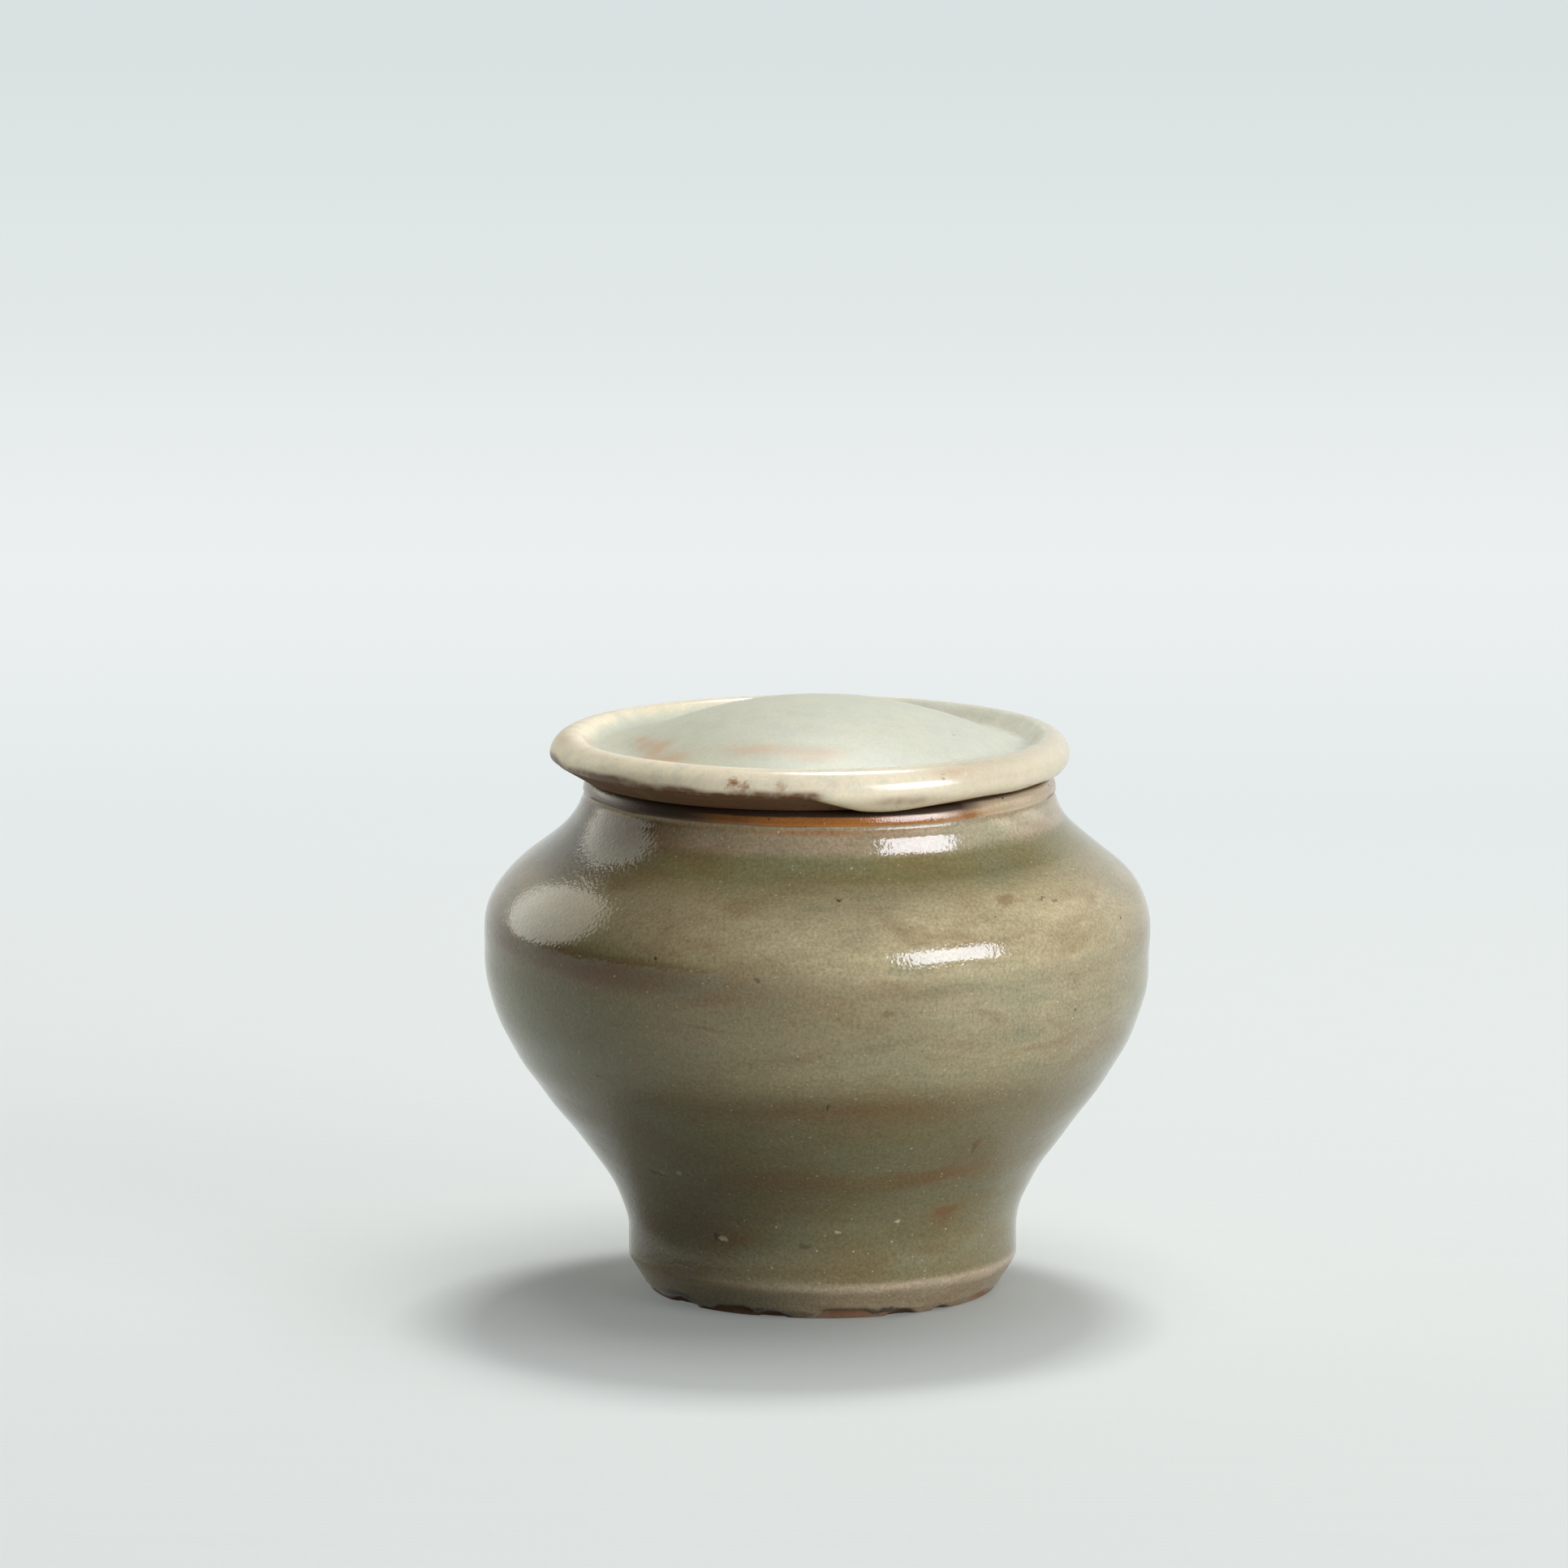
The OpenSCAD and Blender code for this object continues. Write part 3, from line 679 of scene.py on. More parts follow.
def celadon(sizes, colours):
    """Celadon, a clear glass with a little iron, fired in smoke on a thrown jar. It is grey-green
    where thick and pinkish brown where thin, with bands along the throwing, a fine grain of crystals
    and bubbles, a few iron specks, and a wet gloss on a faint orange peel."""
    material, tree, shader = new_material("iron_celadon_glaze")
    place = add(tree, "TexCoord").outputs["Object"]
    mm = add(tree, "VectorMath", {0: place, "Scale": 1 / MM}, operation="SCALE").outputs["Vector"]
    level = add(tree, "VectorMath", {0: mm, 1: (1, 1, 3)}, operation="MULTIPLY").outputs["Vector"]
    thrown = add(tree, "VectorMath", {0: mm, 1: (1, 1, 9)}, operation="MULTIPLY").outputs["Vector"]
    hanging = add(tree, "VectorMath", {0: mm, 1: (1, 1, 0.22)}, operation="MULTIPLY").outputs["Vector"]
    # clouds 9 mm wide and 3 mm high, streaks 6 mm long and 0.7 mm high, hairs 0.4 mm wide and
    # 1.8 mm high, and a grain of 0.42 mm
    clouds = add(tree, "TexNoise", {"Vector": level, "Scale": 1 / 9, "Detail": 3.0}).outputs["Fac"]
    streaks = add(tree, "TexNoise", {"Vector": thrown, "Scale": 1 / 6, "Detail": 2.0}).outputs["Fac"]
    hairs = add(tree, "TexNoise", {"Vector": hanging, "Scale": 1 / 0.4, "Detail": 1.0}).outputs["Fac"]
    grain = add(tree, "TexNoise", {"Vector": mm, "Scale": 1 / 0.42, "Detail": 2.0, "Roughness": 0.7}).outputs["Fac"]
    ragged = add(tree, "Math", {0: clouds, 1: 1.3, 2: 0.0}, operation="MULTIPLY_ADD").outputs[0]
    ragged = add(tree, "Math", {0: streaks, 1: 0.7, 2: ragged}, operation="MULTIPLY_ADD").outputs[0]
    torn = add(tree, "Math", {0: hairs, 1: 1.8, 2: -0.9}, operation="MULTIPLY_ADD").outputs[0]
    torn = add(tree, "Math", {0: torn, 1: ragged}, operation="ADD").outputs[0]
    tint = (*colours.olive, 1)
    # the bands' tones; the umber bands hold painted shade under the lid on the left, and one bubble band holds a
    # painted glint on the rim
    for tone in BANDS:
        mask = add(tree, "Attribute", attribute_name=tone).outputs["Fac"]
        edge = torn if tone in ("rust", "umber_and_shade") else ragged
        mask = add(tree, "Math", {0: mask, 1: edge}, operation="MULTIPLY", use_clamp=True).outputs[0]
        tint = add(tree, "Mix", {"Factor": mask, "A": tint, "B": (*getattr(colours, tone), 1)},
                   data_type="RGBA").outputs["Result"]
    coat = add(tree, "Attribute", attribute_name="thickness").outputs["Fac"]
    coat = add(tree, "Math", {0: streaks, 1: 0.5, 2: coat}, operation="MULTIPLY_ADD").outputs[0]
    bare = add(tree, "MapRange", {"Value": coat, "From Min": 1.0, "From Max": 0.55}).outputs["Result"]
    height = add(tree, "SeparateXYZ", {"Vector": mm}).outputs["Z"]
    height = add(tree, "Math", {0: clouds, 1: 1.2, 2: height}, operation="MULTIPLY_ADD").outputs[0]
    low = add(tree, "MapRange", {"Value": height, "From Min": 5.9, "From Max": 4.7}).outputs["Result"]
    bare = add(tree, "Math", {0: bare, 1: low}, operation="MAXIMUM").outputs[0]
    tint = add(tree, "Mix", {"Factor": bare, "A": tint, "B": (*colours.trim, 1)}, data_type="RGBA").outputs["Result"]
    # patches of 14 mm, browner or greener than their surroundings
    patches = add(tree, "TexNoise", {"Vector": level, "Scale": 1 / 14, "Detail": 4.0, "Distortion": 0.6}).outputs["Fac"]
    for low, high, tone, strength in ((0.52, 0.70, "iron", 0.38), (0.48, 0.32, "sage", 0.38)):
        mask = add(tree, "MapRange", {"Value": patches, "From Min": low, "From Max": high, "To Max": strength}).outputs["Result"]
        tint = add(tree, "Mix", {"Factor": mask, "A": tint, "B": (*getattr(colours, tone), 1)},
                   data_type="RGBA").outputs["Result"]
    across = add(tree, "SeparateXYZ", {"Vector": mm}).outputs["X"]
    most = add(tree, "MapRange", {"Value": across, "From Min": -18.0, "From Max": 6.0, "To Min": 0.0, "To Max": 0.6}).outputs["Result"]
    off = add(tree, "Math", {0: height, 1: -5.0}, operation="ADD").outputs[0]
    off = add(tree, "Math", {0: off}, operation="ABSOLUTE").outputs[0]
    crest = add(tree, "MapRange", {"Value": off, "From Min": 1.2, "From Max": 0.1},
                interpolation_type="SMOOTHSTEP").outputs["Result"]
    crest = add(tree, "Math", {0: crest, 1: ragged}, operation="MULTIPLY").outputs[0]
    crest = add(tree, "Math", {0: crest, 1: most}, operation="MULTIPLY").outputs[0]
    tint = add(tree, "Mix", {"Factor": crest, "A": tint, "B": (*colours.crest, 1)}, data_type="RGBA").outputs["Result"]
    # the grain and the streaks make the glass lighter and darker by about an eighth
    shade = add(tree, "Math", {0: grain, 1: 1.05, 2: 0.22}, operation="MULTIPLY_ADD").outputs[0]
    shade = add(tree, "Math", {0: hairs, 1: 0.15, 2: shade}, operation="MULTIPLY_ADD").outputs[0]
    shade = add(tree, "Math", {0: streaks, 1: 0.10, 2: shade}, operation="MULTIPLY_ADD").outputs[0]
    shade = add(tree, "Math", {0: clouds, 1: 0.25, 2: shade}, operation="MULTIPLY_ADD").outputs[0]
    tint = add(tree, "VectorMath", {0: tint, "Scale": shade}, operation="SCALE").outputs["Vector"]
    # milky bubbles and iron specks: the spacing in mm, the radius in spacings, how many are left
    # out, and the colour
    for spacing, radius, left_out, tone, strength in (
        (1.15, 0.13, 0.45, "bubble_and_glint", 0.5), (2.4, 0.07, 0.6, "bubble_and_glint", 0.8), (2.9, 0.06, 0.5, "speck_and_shade", 0.55),
        (7.0, 0.045, 0.35, "speck_and_shade", 0.85),
    ):
        cells = add(tree, "TexVoronoi", {"Vector": mm, "Scale": 1 / spacing})
        spot = add(tree, "MapRange", {"Value": cells.outputs["Distance"], "From Min": radius, "From Max": radius * 0.5,
                                      "To Max": strength}).outputs["Result"]
        odds = add(tree, "SeparateXYZ", {"Vector": cells.outputs["Color"]}).outputs["X"]
        kept = add(tree, "Math", {0: odds, 1: left_out}, operation="GREATER_THAN").outputs[0]
        spot = add(tree, "Math", {0: spot, 1: kept}, operation="MULTIPLY").outputs[0]
        tint = add(tree, "Mix", {"Factor": spot, "A": tint, "B": (*getattr(colours, tone), 1)},
                   data_type="RGBA").outputs["Result"]
    outline = jar_outline(sizes)
    fray = add(tree, "TexNoise", {"Vector": mm, "Scale": 1 / 0.7, "Detail": 2.0}).outputs["Color"]
    frayed = add(tree, "VectorMath", {0: fray, 1: (0.0012, 0.0012, 0.0012), 2: place}, operation="MULTIPLY_ADD").outputs["Vector"]
    for degrees, z, width, tall, turn, tone, strength in MARKS:
        az = math.radians(degrees)
        radius = outline.at(outline.height_to_length(z * MM))[0]
        centre = turned(radius, z * MM, np.float64(az)) + 0.0006
        where = add(tree, "Mapping", {
            "Vector": frayed, "Location": tuple(centre), "Rotation": (0, -math.radians(turn), az),
            "Scale": (width * MM, 2.5 * MM, tall * MM),
        }, vector_type="TEXTURE").outputs["Vector"]
        far = add(tree, "VectorMath", {0: where}, operation="LENGTH").outputs["Value"]
        spot = add(tree, "MapRange", {"Value": far, "From Min": 1.2, "From Max": 0.5, "To Max": strength},
                   interpolation_type="SMOOTHSTEP").outputs["Result"]
        tint = add(tree, "Mix", {"Factor": spot, "A": tint, "B": (*getattr(colours, tone), 1)},
                   data_type="RGBA").outputs["Result"]
    tree.links.new(tint, shader.inputs["Base Color"])
    gloss = add(tree, "Math", {0: bare, 1: 0.12, 2: 0.075}, operation="MULTIPLY_ADD").outputs[0]
    gloss = add(tree, "Math", {0: grain, 1: 0.08, 2: gloss}, operation="MULTIPLY_ADD").outputs[0]
    tree.links.new(gloss, shader.inputs["Roughness"])
    dull = add(tree, "Attribute", attribute_name="umber_and_shade").outputs["Fac"]
    mirror = add(tree, "MapRange", {"Value": dull, "To Min": 0.5, "To Max": 0.2}).outputs["Result"]
    tree.links.new(mirror, shader.inputs["Specular IOR Level"])
    shader.inputs["IOR"].default_value = 1.5
    # orange peel of 0.5 mm and a swell of 6 mm
    peel = add(tree, "TexNoise", {"Vector": mm, "Scale": 1 / 0.5, "Detail": 1.0}).outputs["Fac"]
    swell = add(tree, "TexNoise", {"Vector": level, "Scale": 1 / 6, "Detail": 1.0}).outputs["Fac"]
    relief = add(tree, "Math", {0: swell, 1: 1.5, 2: peel}, operation="MULTIPLY_ADD").outputs[0]
    bump = add(tree, "Bump", {"Height": relief, "Strength": 1.0, "Distance": 0.036 * MM}).outputs["Normal"]
    tree.links.new(bump, shader.inputs["Normal"])
    return material


def stoneware(name, colours, seat_height, glossy_height):
    """Bare stoneware, thrown and fired without glaze: dry, grey-brown, gritty, and orange-brown where
    the flame or the glaze's edge flashed it. Near the rim it has a thin shine of its own."""
    material, tree, shader = new_material(name)
    place = add(tree, "TexCoord").outputs["Object"]
    mm = add(tree, "VectorMath", {0: place, "Scale": 1 / MM}, operation="SCALE").outputs["Vector"]
    # patches of 7 mm, turning lines 0.6 mm high, grit of 0.5 mm and a grain of 0.2 mm
    patches = add(tree, "TexNoise", {"Vector": mm, "Scale": 1 / 7, "Detail": 3.0}).outputs["Fac"]
    thrown = add(tree, "VectorMath", {0: mm, 1: (1, 1, 14)}, operation="MULTIPLY").outputs["Vector"]
    lines = add(tree, "TexNoise", {"Vector": thrown, "Scale": 1 / 9, "Detail": 2.0}).outputs["Fac"]
    grain = add(tree, "TexNoise", {"Vector": mm, "Scale": 1 / 0.25, "Detail": 2.0}).outputs["Fac"]
    height = add(tree, "SeparateXYZ", {"Vector": mm}).outputs["Z"]
    height = add(tree, "Math", {0: patches, 1: 1.5, 2: height}, operation="MULTIPLY_ADD").outputs[0]
    near = add(tree, "MapRange", {"Value": height, "From Min": seat_height, "From Max": seat_height + 1.2}).outputs["Result"]
    foot = add(tree, "MapRange", {"Value": height, "From Min": 5.4, "From Max": 1.2}).outputs["Result"]
    flash = add(tree, "Math", {0: near, 1: foot}, operation="MAXIMUM").outputs[0]
    flash = add(tree, "Math", {0: patches, 1: 0.5, 2: flash}, operation="MULTIPLY_ADD", use_clamp=True).outputs[0]
    tint = add(tree, "Mix", {"Factor": flash, "A": (*colours.clay, 1), "B": (*colours.flashed, 1)},
               data_type="RGBA").outputs["Result"]
    shine = add(tree, "MapRange", {"Value": height, "From Min": glossy_height, "From Max": glossy_height + 0.6}).outputs["Result"]
    tint = add(tree, "Mix", {"Factor": shine, "A": tint, "B": (*colours.thin, 1)}, data_type="RGBA").outputs["Result"]
    # tones from the attributes: bubbles with a painted glint on the rim, umber with painted shade under the lid, rust,
    # and the lid's painted shadow in the crease
    for tone in ("bubble_and_glint", "umber_and_shade", "rust", "crease_shadow"):
        mask = add(tree, "Attribute", attribute_name=tone).outputs["Fac"]
        mask = add(tree, "Math", {0: patches, 1: 0.9, 2: mask}, operation="MULTIPLY_ADD").outputs[0]
        mask = add(tree, "MapRange", {"Value": mask, "From Min": 0.5, "From Max": 1.2}).outputs["Result"]
        tint = add(tree, "Mix", {"Factor": mask, "A": tint, "B": (*getattr(colours, tone), 1)},
                   data_type="RGBA").outputs["Result"]
    shade = add(tree, "Math", {0: grain, 1: 0.7, 2: 0.35}, operation="MULTIPLY_ADD").outputs[0]
    shade = add(tree, "Math", {0: lines, 1: 0.6, 2: shade}, operation="MULTIPLY_ADD").outputs[0]
    tint = add(tree, "VectorMath", {0: tint, "Scale": shade}, operation="SCALE").outputs["Vector"]
    cells = add(tree, "TexVoronoi", {"Vector": mm, "Scale": 1 / 1.6})
    grit = add(tree, "MapRange", {"Value": cells.outputs["Distance"], "From Min": 0.17, "From Max": 0.1}).outputs["Result"]
    odds = add(tree, "SeparateXYZ", {"Vector": cells.outputs["Color"]}).outputs["X"]
    dark = add(tree, "Math", {0: odds, 1: 0.6}, operation="GREATER_THAN").outputs[0]
    spot = add(tree, "Math", {0: grit, 1: dark}, operation="MULTIPLY").outputs[0]
    tint = add(tree, "Mix", {"Factor": spot, "A": tint, "B": (*colours.speck_and_shade, 1)}, data_type="RGBA").outputs["Result"]
    tree.links.new(tint, shader.inputs["Base Color"])
    rough = add(tree, "Math", {0: shine, 1: -0.66, 2: 0.8}, operation="MULTIPLY_ADD").outputs[0]
    # the painted crease shadow is also rougher and mirrors less
    crease_shadow = add(tree, "Attribute", attribute_name="crease_shadow").outputs["Fac"]
    rough = add(tree, "Math", {0: crease_shadow, 1: 0.6, 2: rough}, operation="MULTIPLY_ADD", use_clamp=True).outputs[0]
    mirror = add(tree, "MapRange", {"Value": crease_shadow, "To Min": 0.5, "To Max": 0.1}).outputs["Result"]
    tree.links.new(mirror, shader.inputs["Specular IOR Level"])
    tree.links.new(rough, shader.inputs["Roughness"])
    relief = add(tree, "Math", {0: grit, 1: 0.8, 2: grain}, operation="MULTIPLY_ADD").outputs[0]
    relief = add(tree, "Math", {0: lines, 1: 1.5, 2: relief}, operation="MULTIPLY_ADD").outputs[0]
    bump = add(tree, "Bump", {"Height": relief, "Strength": 1.0, "Distance": 0.03 * MM}).outputs["Normal"]
    tree.links.new(bump, shader.inputs["Normal"])
    return material


# Rust spots on the lid's lip: x, y, z and half width in mm, and strength
LID_MARKS = [
    (-11.5, -33.0, 72.9, 1.3, 0.9), (-9.9, -33.2, 72.5, 0.9, 0.7), (-5.0, -33.9, 72.4, 1.0, 0.5), (16.0, -29.8, 73.4, 0.8, 0.6),
    (13.6, -31.0, 73.3, 0.7, 0.4), (-19.0, -28.5, 73.0, 0.5, 0.5), (30.0, 14.0, 73.2, 0.9, 0.6), (-16.0, 30.0, 72.6, 1.2, 0.7),
]


def lid_bands(sizes, angle, r, z):
    """How much cream, blush and fringe the lid's glaze shows at an angle, radius and height over the
    seat. Cream covers the lip, blush lies in streaks in the gutter, and the fringe is the ragged
    brown edge where the coat thins to nothing above the bevel, but not where the run hangs."""
    degrees = np.degrees(angle)
    wave = 0.35 * MM * ripple(angle, z, 61, [3, 7, 12, 19], [0.01])
    cream = smooth(29.8 * MM, 31.4 * MM, r + wave)
    blush = np.zeros(r.shape)
    for middle, reach, radius, half, strength in (
        (-58, 6, 25.8, 1.2, 0.9), (-62, 3, 24.2, 0.8, 0.8), (-50, 6, 24.6, 1.6, 0.8), (-77, 6, 29.6, 0.9, 0.8),
        (-27, 10, 21.2, 1.4, 0.5), (-16, 14, 20.2, 1.4, 0.45), (1, 9, 20.8, 1.5, 0.55), (-2, 5, 22.6, 0.7, 0.4),
        (-72, 5, 23.5, 1.4, 1.0), (-83, 5, 23.2, 0.9, 1.0), (-64, 4, 22.8, 1.3, 1.0), (-90, 6, 30.0, 0.7, 0.6),
        (-40, 30, 27.6, 0.8, 0.5), (-84, 8, 33.6, 1.0, 0.6), (150, 25, 27.0, 2.0, 0.4), (32, 5, 32.8, 0.5, 0.7),
    ):
        off = (degrees - middle + 180) % 360 - 180
        blush = blush + strength * np.exp(-((off / reach) ** 2) - ((r / MM + wave / MM - radius) / half) ** 2)
    hangs = run_share(angle)
    edge = 2.75 + 0.5 * ripple(angle, z, 63, [4, 9, 15, 23], [1]) + 0.5 * smooth(-20, -55, degrees) * smooth(-100, -80, degrees)
    fringe = smooth(edge + 0.6, edge - 0.3, z / MM) * (1 - smooth(0.0, 0.35, hangs)) * smooth(30 * MM, 33 * MM, r)
    stain = 0.6 * np.exp(-(((degrees - 19) / 9) ** 2) - ((z / MM - 1.6) / 0.8) ** 2) * smooth(30 * MM, 33 * MM, r)
    dry = smooth(-8, -40, degrees) * smooth(-140, -110, degrees) * smooth(28 * MM, 31 * MM, r)
    # painted shade: the cream is darkened on the lip's right side
    lip_right_shade = 1.6 * cream * smooth(12, 55, degrees) * smooth(160, 120, degrees)
    # painted light: the back of the gutter is made paler where it lies in shade
    gutter_fill_light = 0.75 * smooth(24.5, 27.0, r / MM) * smooth(31.0, 29.5, r / MM) * smooth(40, 75, degrees) * smooth(168, 140, degrees)
    return {"cream": cream, "lip_right_shade": lip_right_shade, "gutter_fill_light": gutter_fill_light, "blush": np.clip(blush, 0, 1), "fringe": np.clip(fringe + stain, 0, 1), "dry": dry}


def lid_celadon(colours):
    """The lid's pale, milky glaze on the same clay, under-fired to a satin on the dome and glossier on
    the lip, with a soft mottle, pink where it is thin and rusty where it broke over the clay."""
    material, tree, shader = new_material("pale_satin_glaze")
    place = add(tree, "TexCoord").outputs["Object"]
    mm = add(tree, "VectorMath", {0: place, "Scale": 1 / MM}, operation="SCALE").outputs["Vector"]
    # clouds of 10 mm, mottle of 2.5 mm and a grain of 0.45 mm
    clouds = add(tree, "TexNoise", {"Vector": mm, "Scale": 1 / 10, "Detail": 3.0}).outputs["Fac"]
    mottle = add(tree, "TexNoise", {"Vector": mm, "Scale": 1 / 2.5, "Detail": 3.0, "Roughness": 0.6}).outputs["Fac"]
    grain = add(tree, "TexNoise", {"Vector": mm, "Scale": 1 / 0.45, "Detail": 2.0}).outputs["Fac"]
    warm = add(tree, "MapRange", {"Value": clouds, "From Min": 0.3, "From Max": 0.7}).outputs["Result"]
    tint = add(tree, "Mix", {"Factor": warm, "A": (*colours.pale_sage, 1), "B": (*colours.pale_straw, 1)},
               data_type="RGBA").outputs["Result"]
    ragged = add(tree, "Math", {0: mottle, 1: 2.0}, operation="MULTIPLY").outputs[0]
    masks = {}
    # the lip's cream, painted shade on the lip's right side, painted light in the back of the gutter, the blush and the
    # brown fringe
    for key, tone in (("cream", "cream"), ("lip_right_shade", "lip_right_shade"), ("gutter_fill_light", "gutter_fill_light"), ("blush", "blush"), ("fringe", "flashed")):
        mask = add(tree, "Attribute", attribute_name=key).outputs["Fac"]
        masks[key] = add(tree, "Math", {0: mask, 1: ragged}, operation="MULTIPLY", use_clamp=True).outputs[0]
        tint = add(tree, "Mix", {"Factor": masks[key], "A": tint, "B": (*getattr(colours, tone), 1)},
                   data_type="RGBA").outputs["Result"]
    shade = add(tree, "Math", {0: grain, 1: 0.22, 2: 0.78}, operation="MULTIPLY_ADD").outputs[0]
    shade = add(tree, "Math", {0: mottle, 1: 0.22, 2: shade}, operation="MULTIPLY_ADD").outputs[0]
    tint = add(tree, "VectorMath", {0: tint, "Scale": shade}, operation="SCALE").outputs["Vector"]
    for spacing, radius, left_out, tone, strength in (
        (2.6, 0.05, 0.5, "speck_and_shade", 0.5), (9.0, 0.05, 0.3, "rust", 0.8), (3.4, 0.07, 0.6, "flashed", 0.5),
    ):
        cells = add(tree, "TexVoronoi", {"Vector": mm, "Scale": 1 / spacing})
        spot = add(tree, "MapRange", {"Value": cells.outputs["Distance"], "From Min": radius, "From Max": radius * 0.4,
                                      "To Max": strength}).outputs["Result"]
        odds = add(tree, "SeparateXYZ", {"Vector": cells.outputs["Color"]}).outputs["X"]
        kept = add(tree, "Math", {0: odds, 1: left_out}, operation="GREATER_THAN").outputs[0]
        spot = add(tree, "Math", {0: spot, 1: kept}, operation="MULTIPLY").outputs[0]
        tint = add(tree, "Mix", {"Factor": spot, "A": tint, "B": (*getattr(colours, tone), 1)},
                   data_type="RGBA").outputs["Result"]
    fray = add(tree, "TexNoise", {"Vector": mm, "Scale": 1 / 0.6, "Detail": 2.0}).outputs["Color"]
    frayed = add(tree, "VectorMath", {0: fray, 1: (2.0, 2.0, 2.0), 2: mm}, operation="MULTIPLY_ADD").outputs["Vector"]
    for x, y, z, half, strength in LID_MARKS:
        where = add(tree, "VectorMath", {0: frayed, 1: (x + 1, y + 1, z + 1)}, operation="SUBTRACT").outputs["Vector"]
        far = add(tree, "VectorMath", {0: where}, operation="LENGTH").outputs["Value"]
        spot = add(tree, "MapRange", {"Value": far, "From Min": half, "From Max": half * 0.3, "To Max": strength}).outputs["Result"]
        tint = add(tree, "Mix", {"Factor": spot, "A": tint, "B": (*colours.rust, 1)}, data_type="RGBA").outputs["Result"]
    tree.links.new(tint, shader.inputs["Base Color"])
    dry = add(tree, "Attribute", attribute_name="dry").outputs["Fac"]
    rough = add(tree, "Math", {0: masks["cream"], 1: -0.27, 2: 0.47}, operation="MULTIPLY_ADD").outputs[0]
    rough = add(tree, "Math", {0: dry, 1: 0.22, 2: rough}, operation="MULTIPLY_ADD").outputs[0]
    tree.links.new(rough, shader.inputs["Roughness"])
    shader.inputs["IOR"].default_value = 1.5
    peel = add(tree, "TexNoise", {"Vector": mm, "Scale": 1 / 0.7, "Detail": 1.0}).outputs["Fac"]
    relief = add(tree, "Math", {0: mottle, 1: 1.5, 2: peel}, operation="MULTIPLY_ADD").outputs[0]
    bump = add(tree, "Bump", {"Height": relief, "Strength": 1.0, "Distance": 0.015 * MM}).outputs["Normal"]
    tree.links.new(bump, shader.inputs["Normal"])
    return material


def inner_celadon(colours):
    """The same celadon poured into the jar: even, a little paler, glossy, pooled and darker in the
    middle of the floor, with fine iron specks."""
    material, tree, shader = new_material("poured_celadon_glaze")
    place = add(tree, "TexCoord").outputs["Object"]
    mm = add(tree, "VectorMath", {0: place, "Scale": 1 / MM}, operation="SCALE").outputs["Vector"]
    clouds = add(tree, "TexNoise", {"Vector": mm, "Scale": 1 / 12, "Detail": 3.0}).outputs["Fac"]
    grain = add(tree, "TexNoise", {"Vector": mm, "Scale": 1 / 0.42, "Detail": 2.0}).outputs["Fac"]
    height = add(tree, "SeparateXYZ", {"Vector": mm}).outputs["Z"]
    pool = add(tree, "MapRange", {"Value": height, "From Min": 13.0, "From Max": 8.0}).outputs["Result"]
    pool = add(tree, "Math", {0: clouds, 1: 0.5, 2: pool}, operation="MULTIPLY_ADD", use_clamp=True).outputs[0]
    tint = add(tree, "Mix", {"Factor": pool, "A": (*colours.inside, 1), "B": (*colours.olive, 1)},
               data_type="RGBA").outputs["Result"]
    rim = add(tree, "MapRange", {"Value": height, "From Min": 64.5, "From Max": 66.8}).outputs["Result"]
    tint = add(tree, "Mix", {"Factor": rim, "A": tint, "B": (*colours.thin, 1)}, data_type="RGBA").outputs["Result"]
    shade = add(tree, "Math", {0: grain, 1: 0.5, 2: 0.75}, operation="MULTIPLY_ADD").outputs[0]
    tint = add(tree, "VectorMath", {0: tint, "Scale": shade}, operation="SCALE").outputs["Vector"]
    cells = add(tree, "TexVoronoi", {"Vector": mm, "Scale": 1 / 3.5})
    spot = add(tree, "MapRange", {"Value": cells.outputs["Distance"], "From Min": 0.06, "From Max": 0.03,
                                  "To Max": 0.7}).outputs["Result"]
    tint = add(tree, "Mix", {"Factor": spot, "A": tint, "B": (*colours.speck_and_shade, 1)}, data_type="RGBA").outputs["Result"]
    tree.links.new(tint, shader.inputs["Base Color"])
    gloss = add(tree, "Math", {0: clouds, 1: 0.1, 2: 0.06}, operation="MULTIPLY_ADD").outputs[0]
    tree.links.new(gloss, shader.inputs["Roughness"])
    shader.inputs["IOR"].default_value = 1.5
    peel = add(tree, "TexNoise", {"Vector": mm, "Scale": 1 / 0.8, "Detail": 1.0}).outputs["Fac"]
    bump = add(tree, "Bump", {"Height": peel, "Strength": 1.0, "Distance": 0.012 * MM}).outputs["Normal"]
    tree.links.new(bump, shader.inputs["Normal"])
    return material


# Operators, one for each piece


class JAR_OT_outer_glaze(bpy.types.Operator):
    """Builds the outer coat of glaze."""

    bl_idname = "jar.outer_glaze"
    bl_label = "Outer Glaze"

    def execute(self, context):
        sizes = context.scene.jar_sizes
        outline = jar_outline(sizes)
        rows, thick = outer_glaze_rows(sizes, outline, around(360))
        z = rows[..., 2]
        bands = glaze_bands(np.arctan2(rows[..., 0] - drift(z), -rows[..., 1]), z)
        piece = closed_mesh("jar_outer_glaze", rows, True, {"thickness": thick, **bands})
        piece.data.materials.append(celadon(sizes, context.scene.jar_colours))
        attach(piece, "jar")
        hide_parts("jar_glaze_outside")
        return {"FINISHED"}


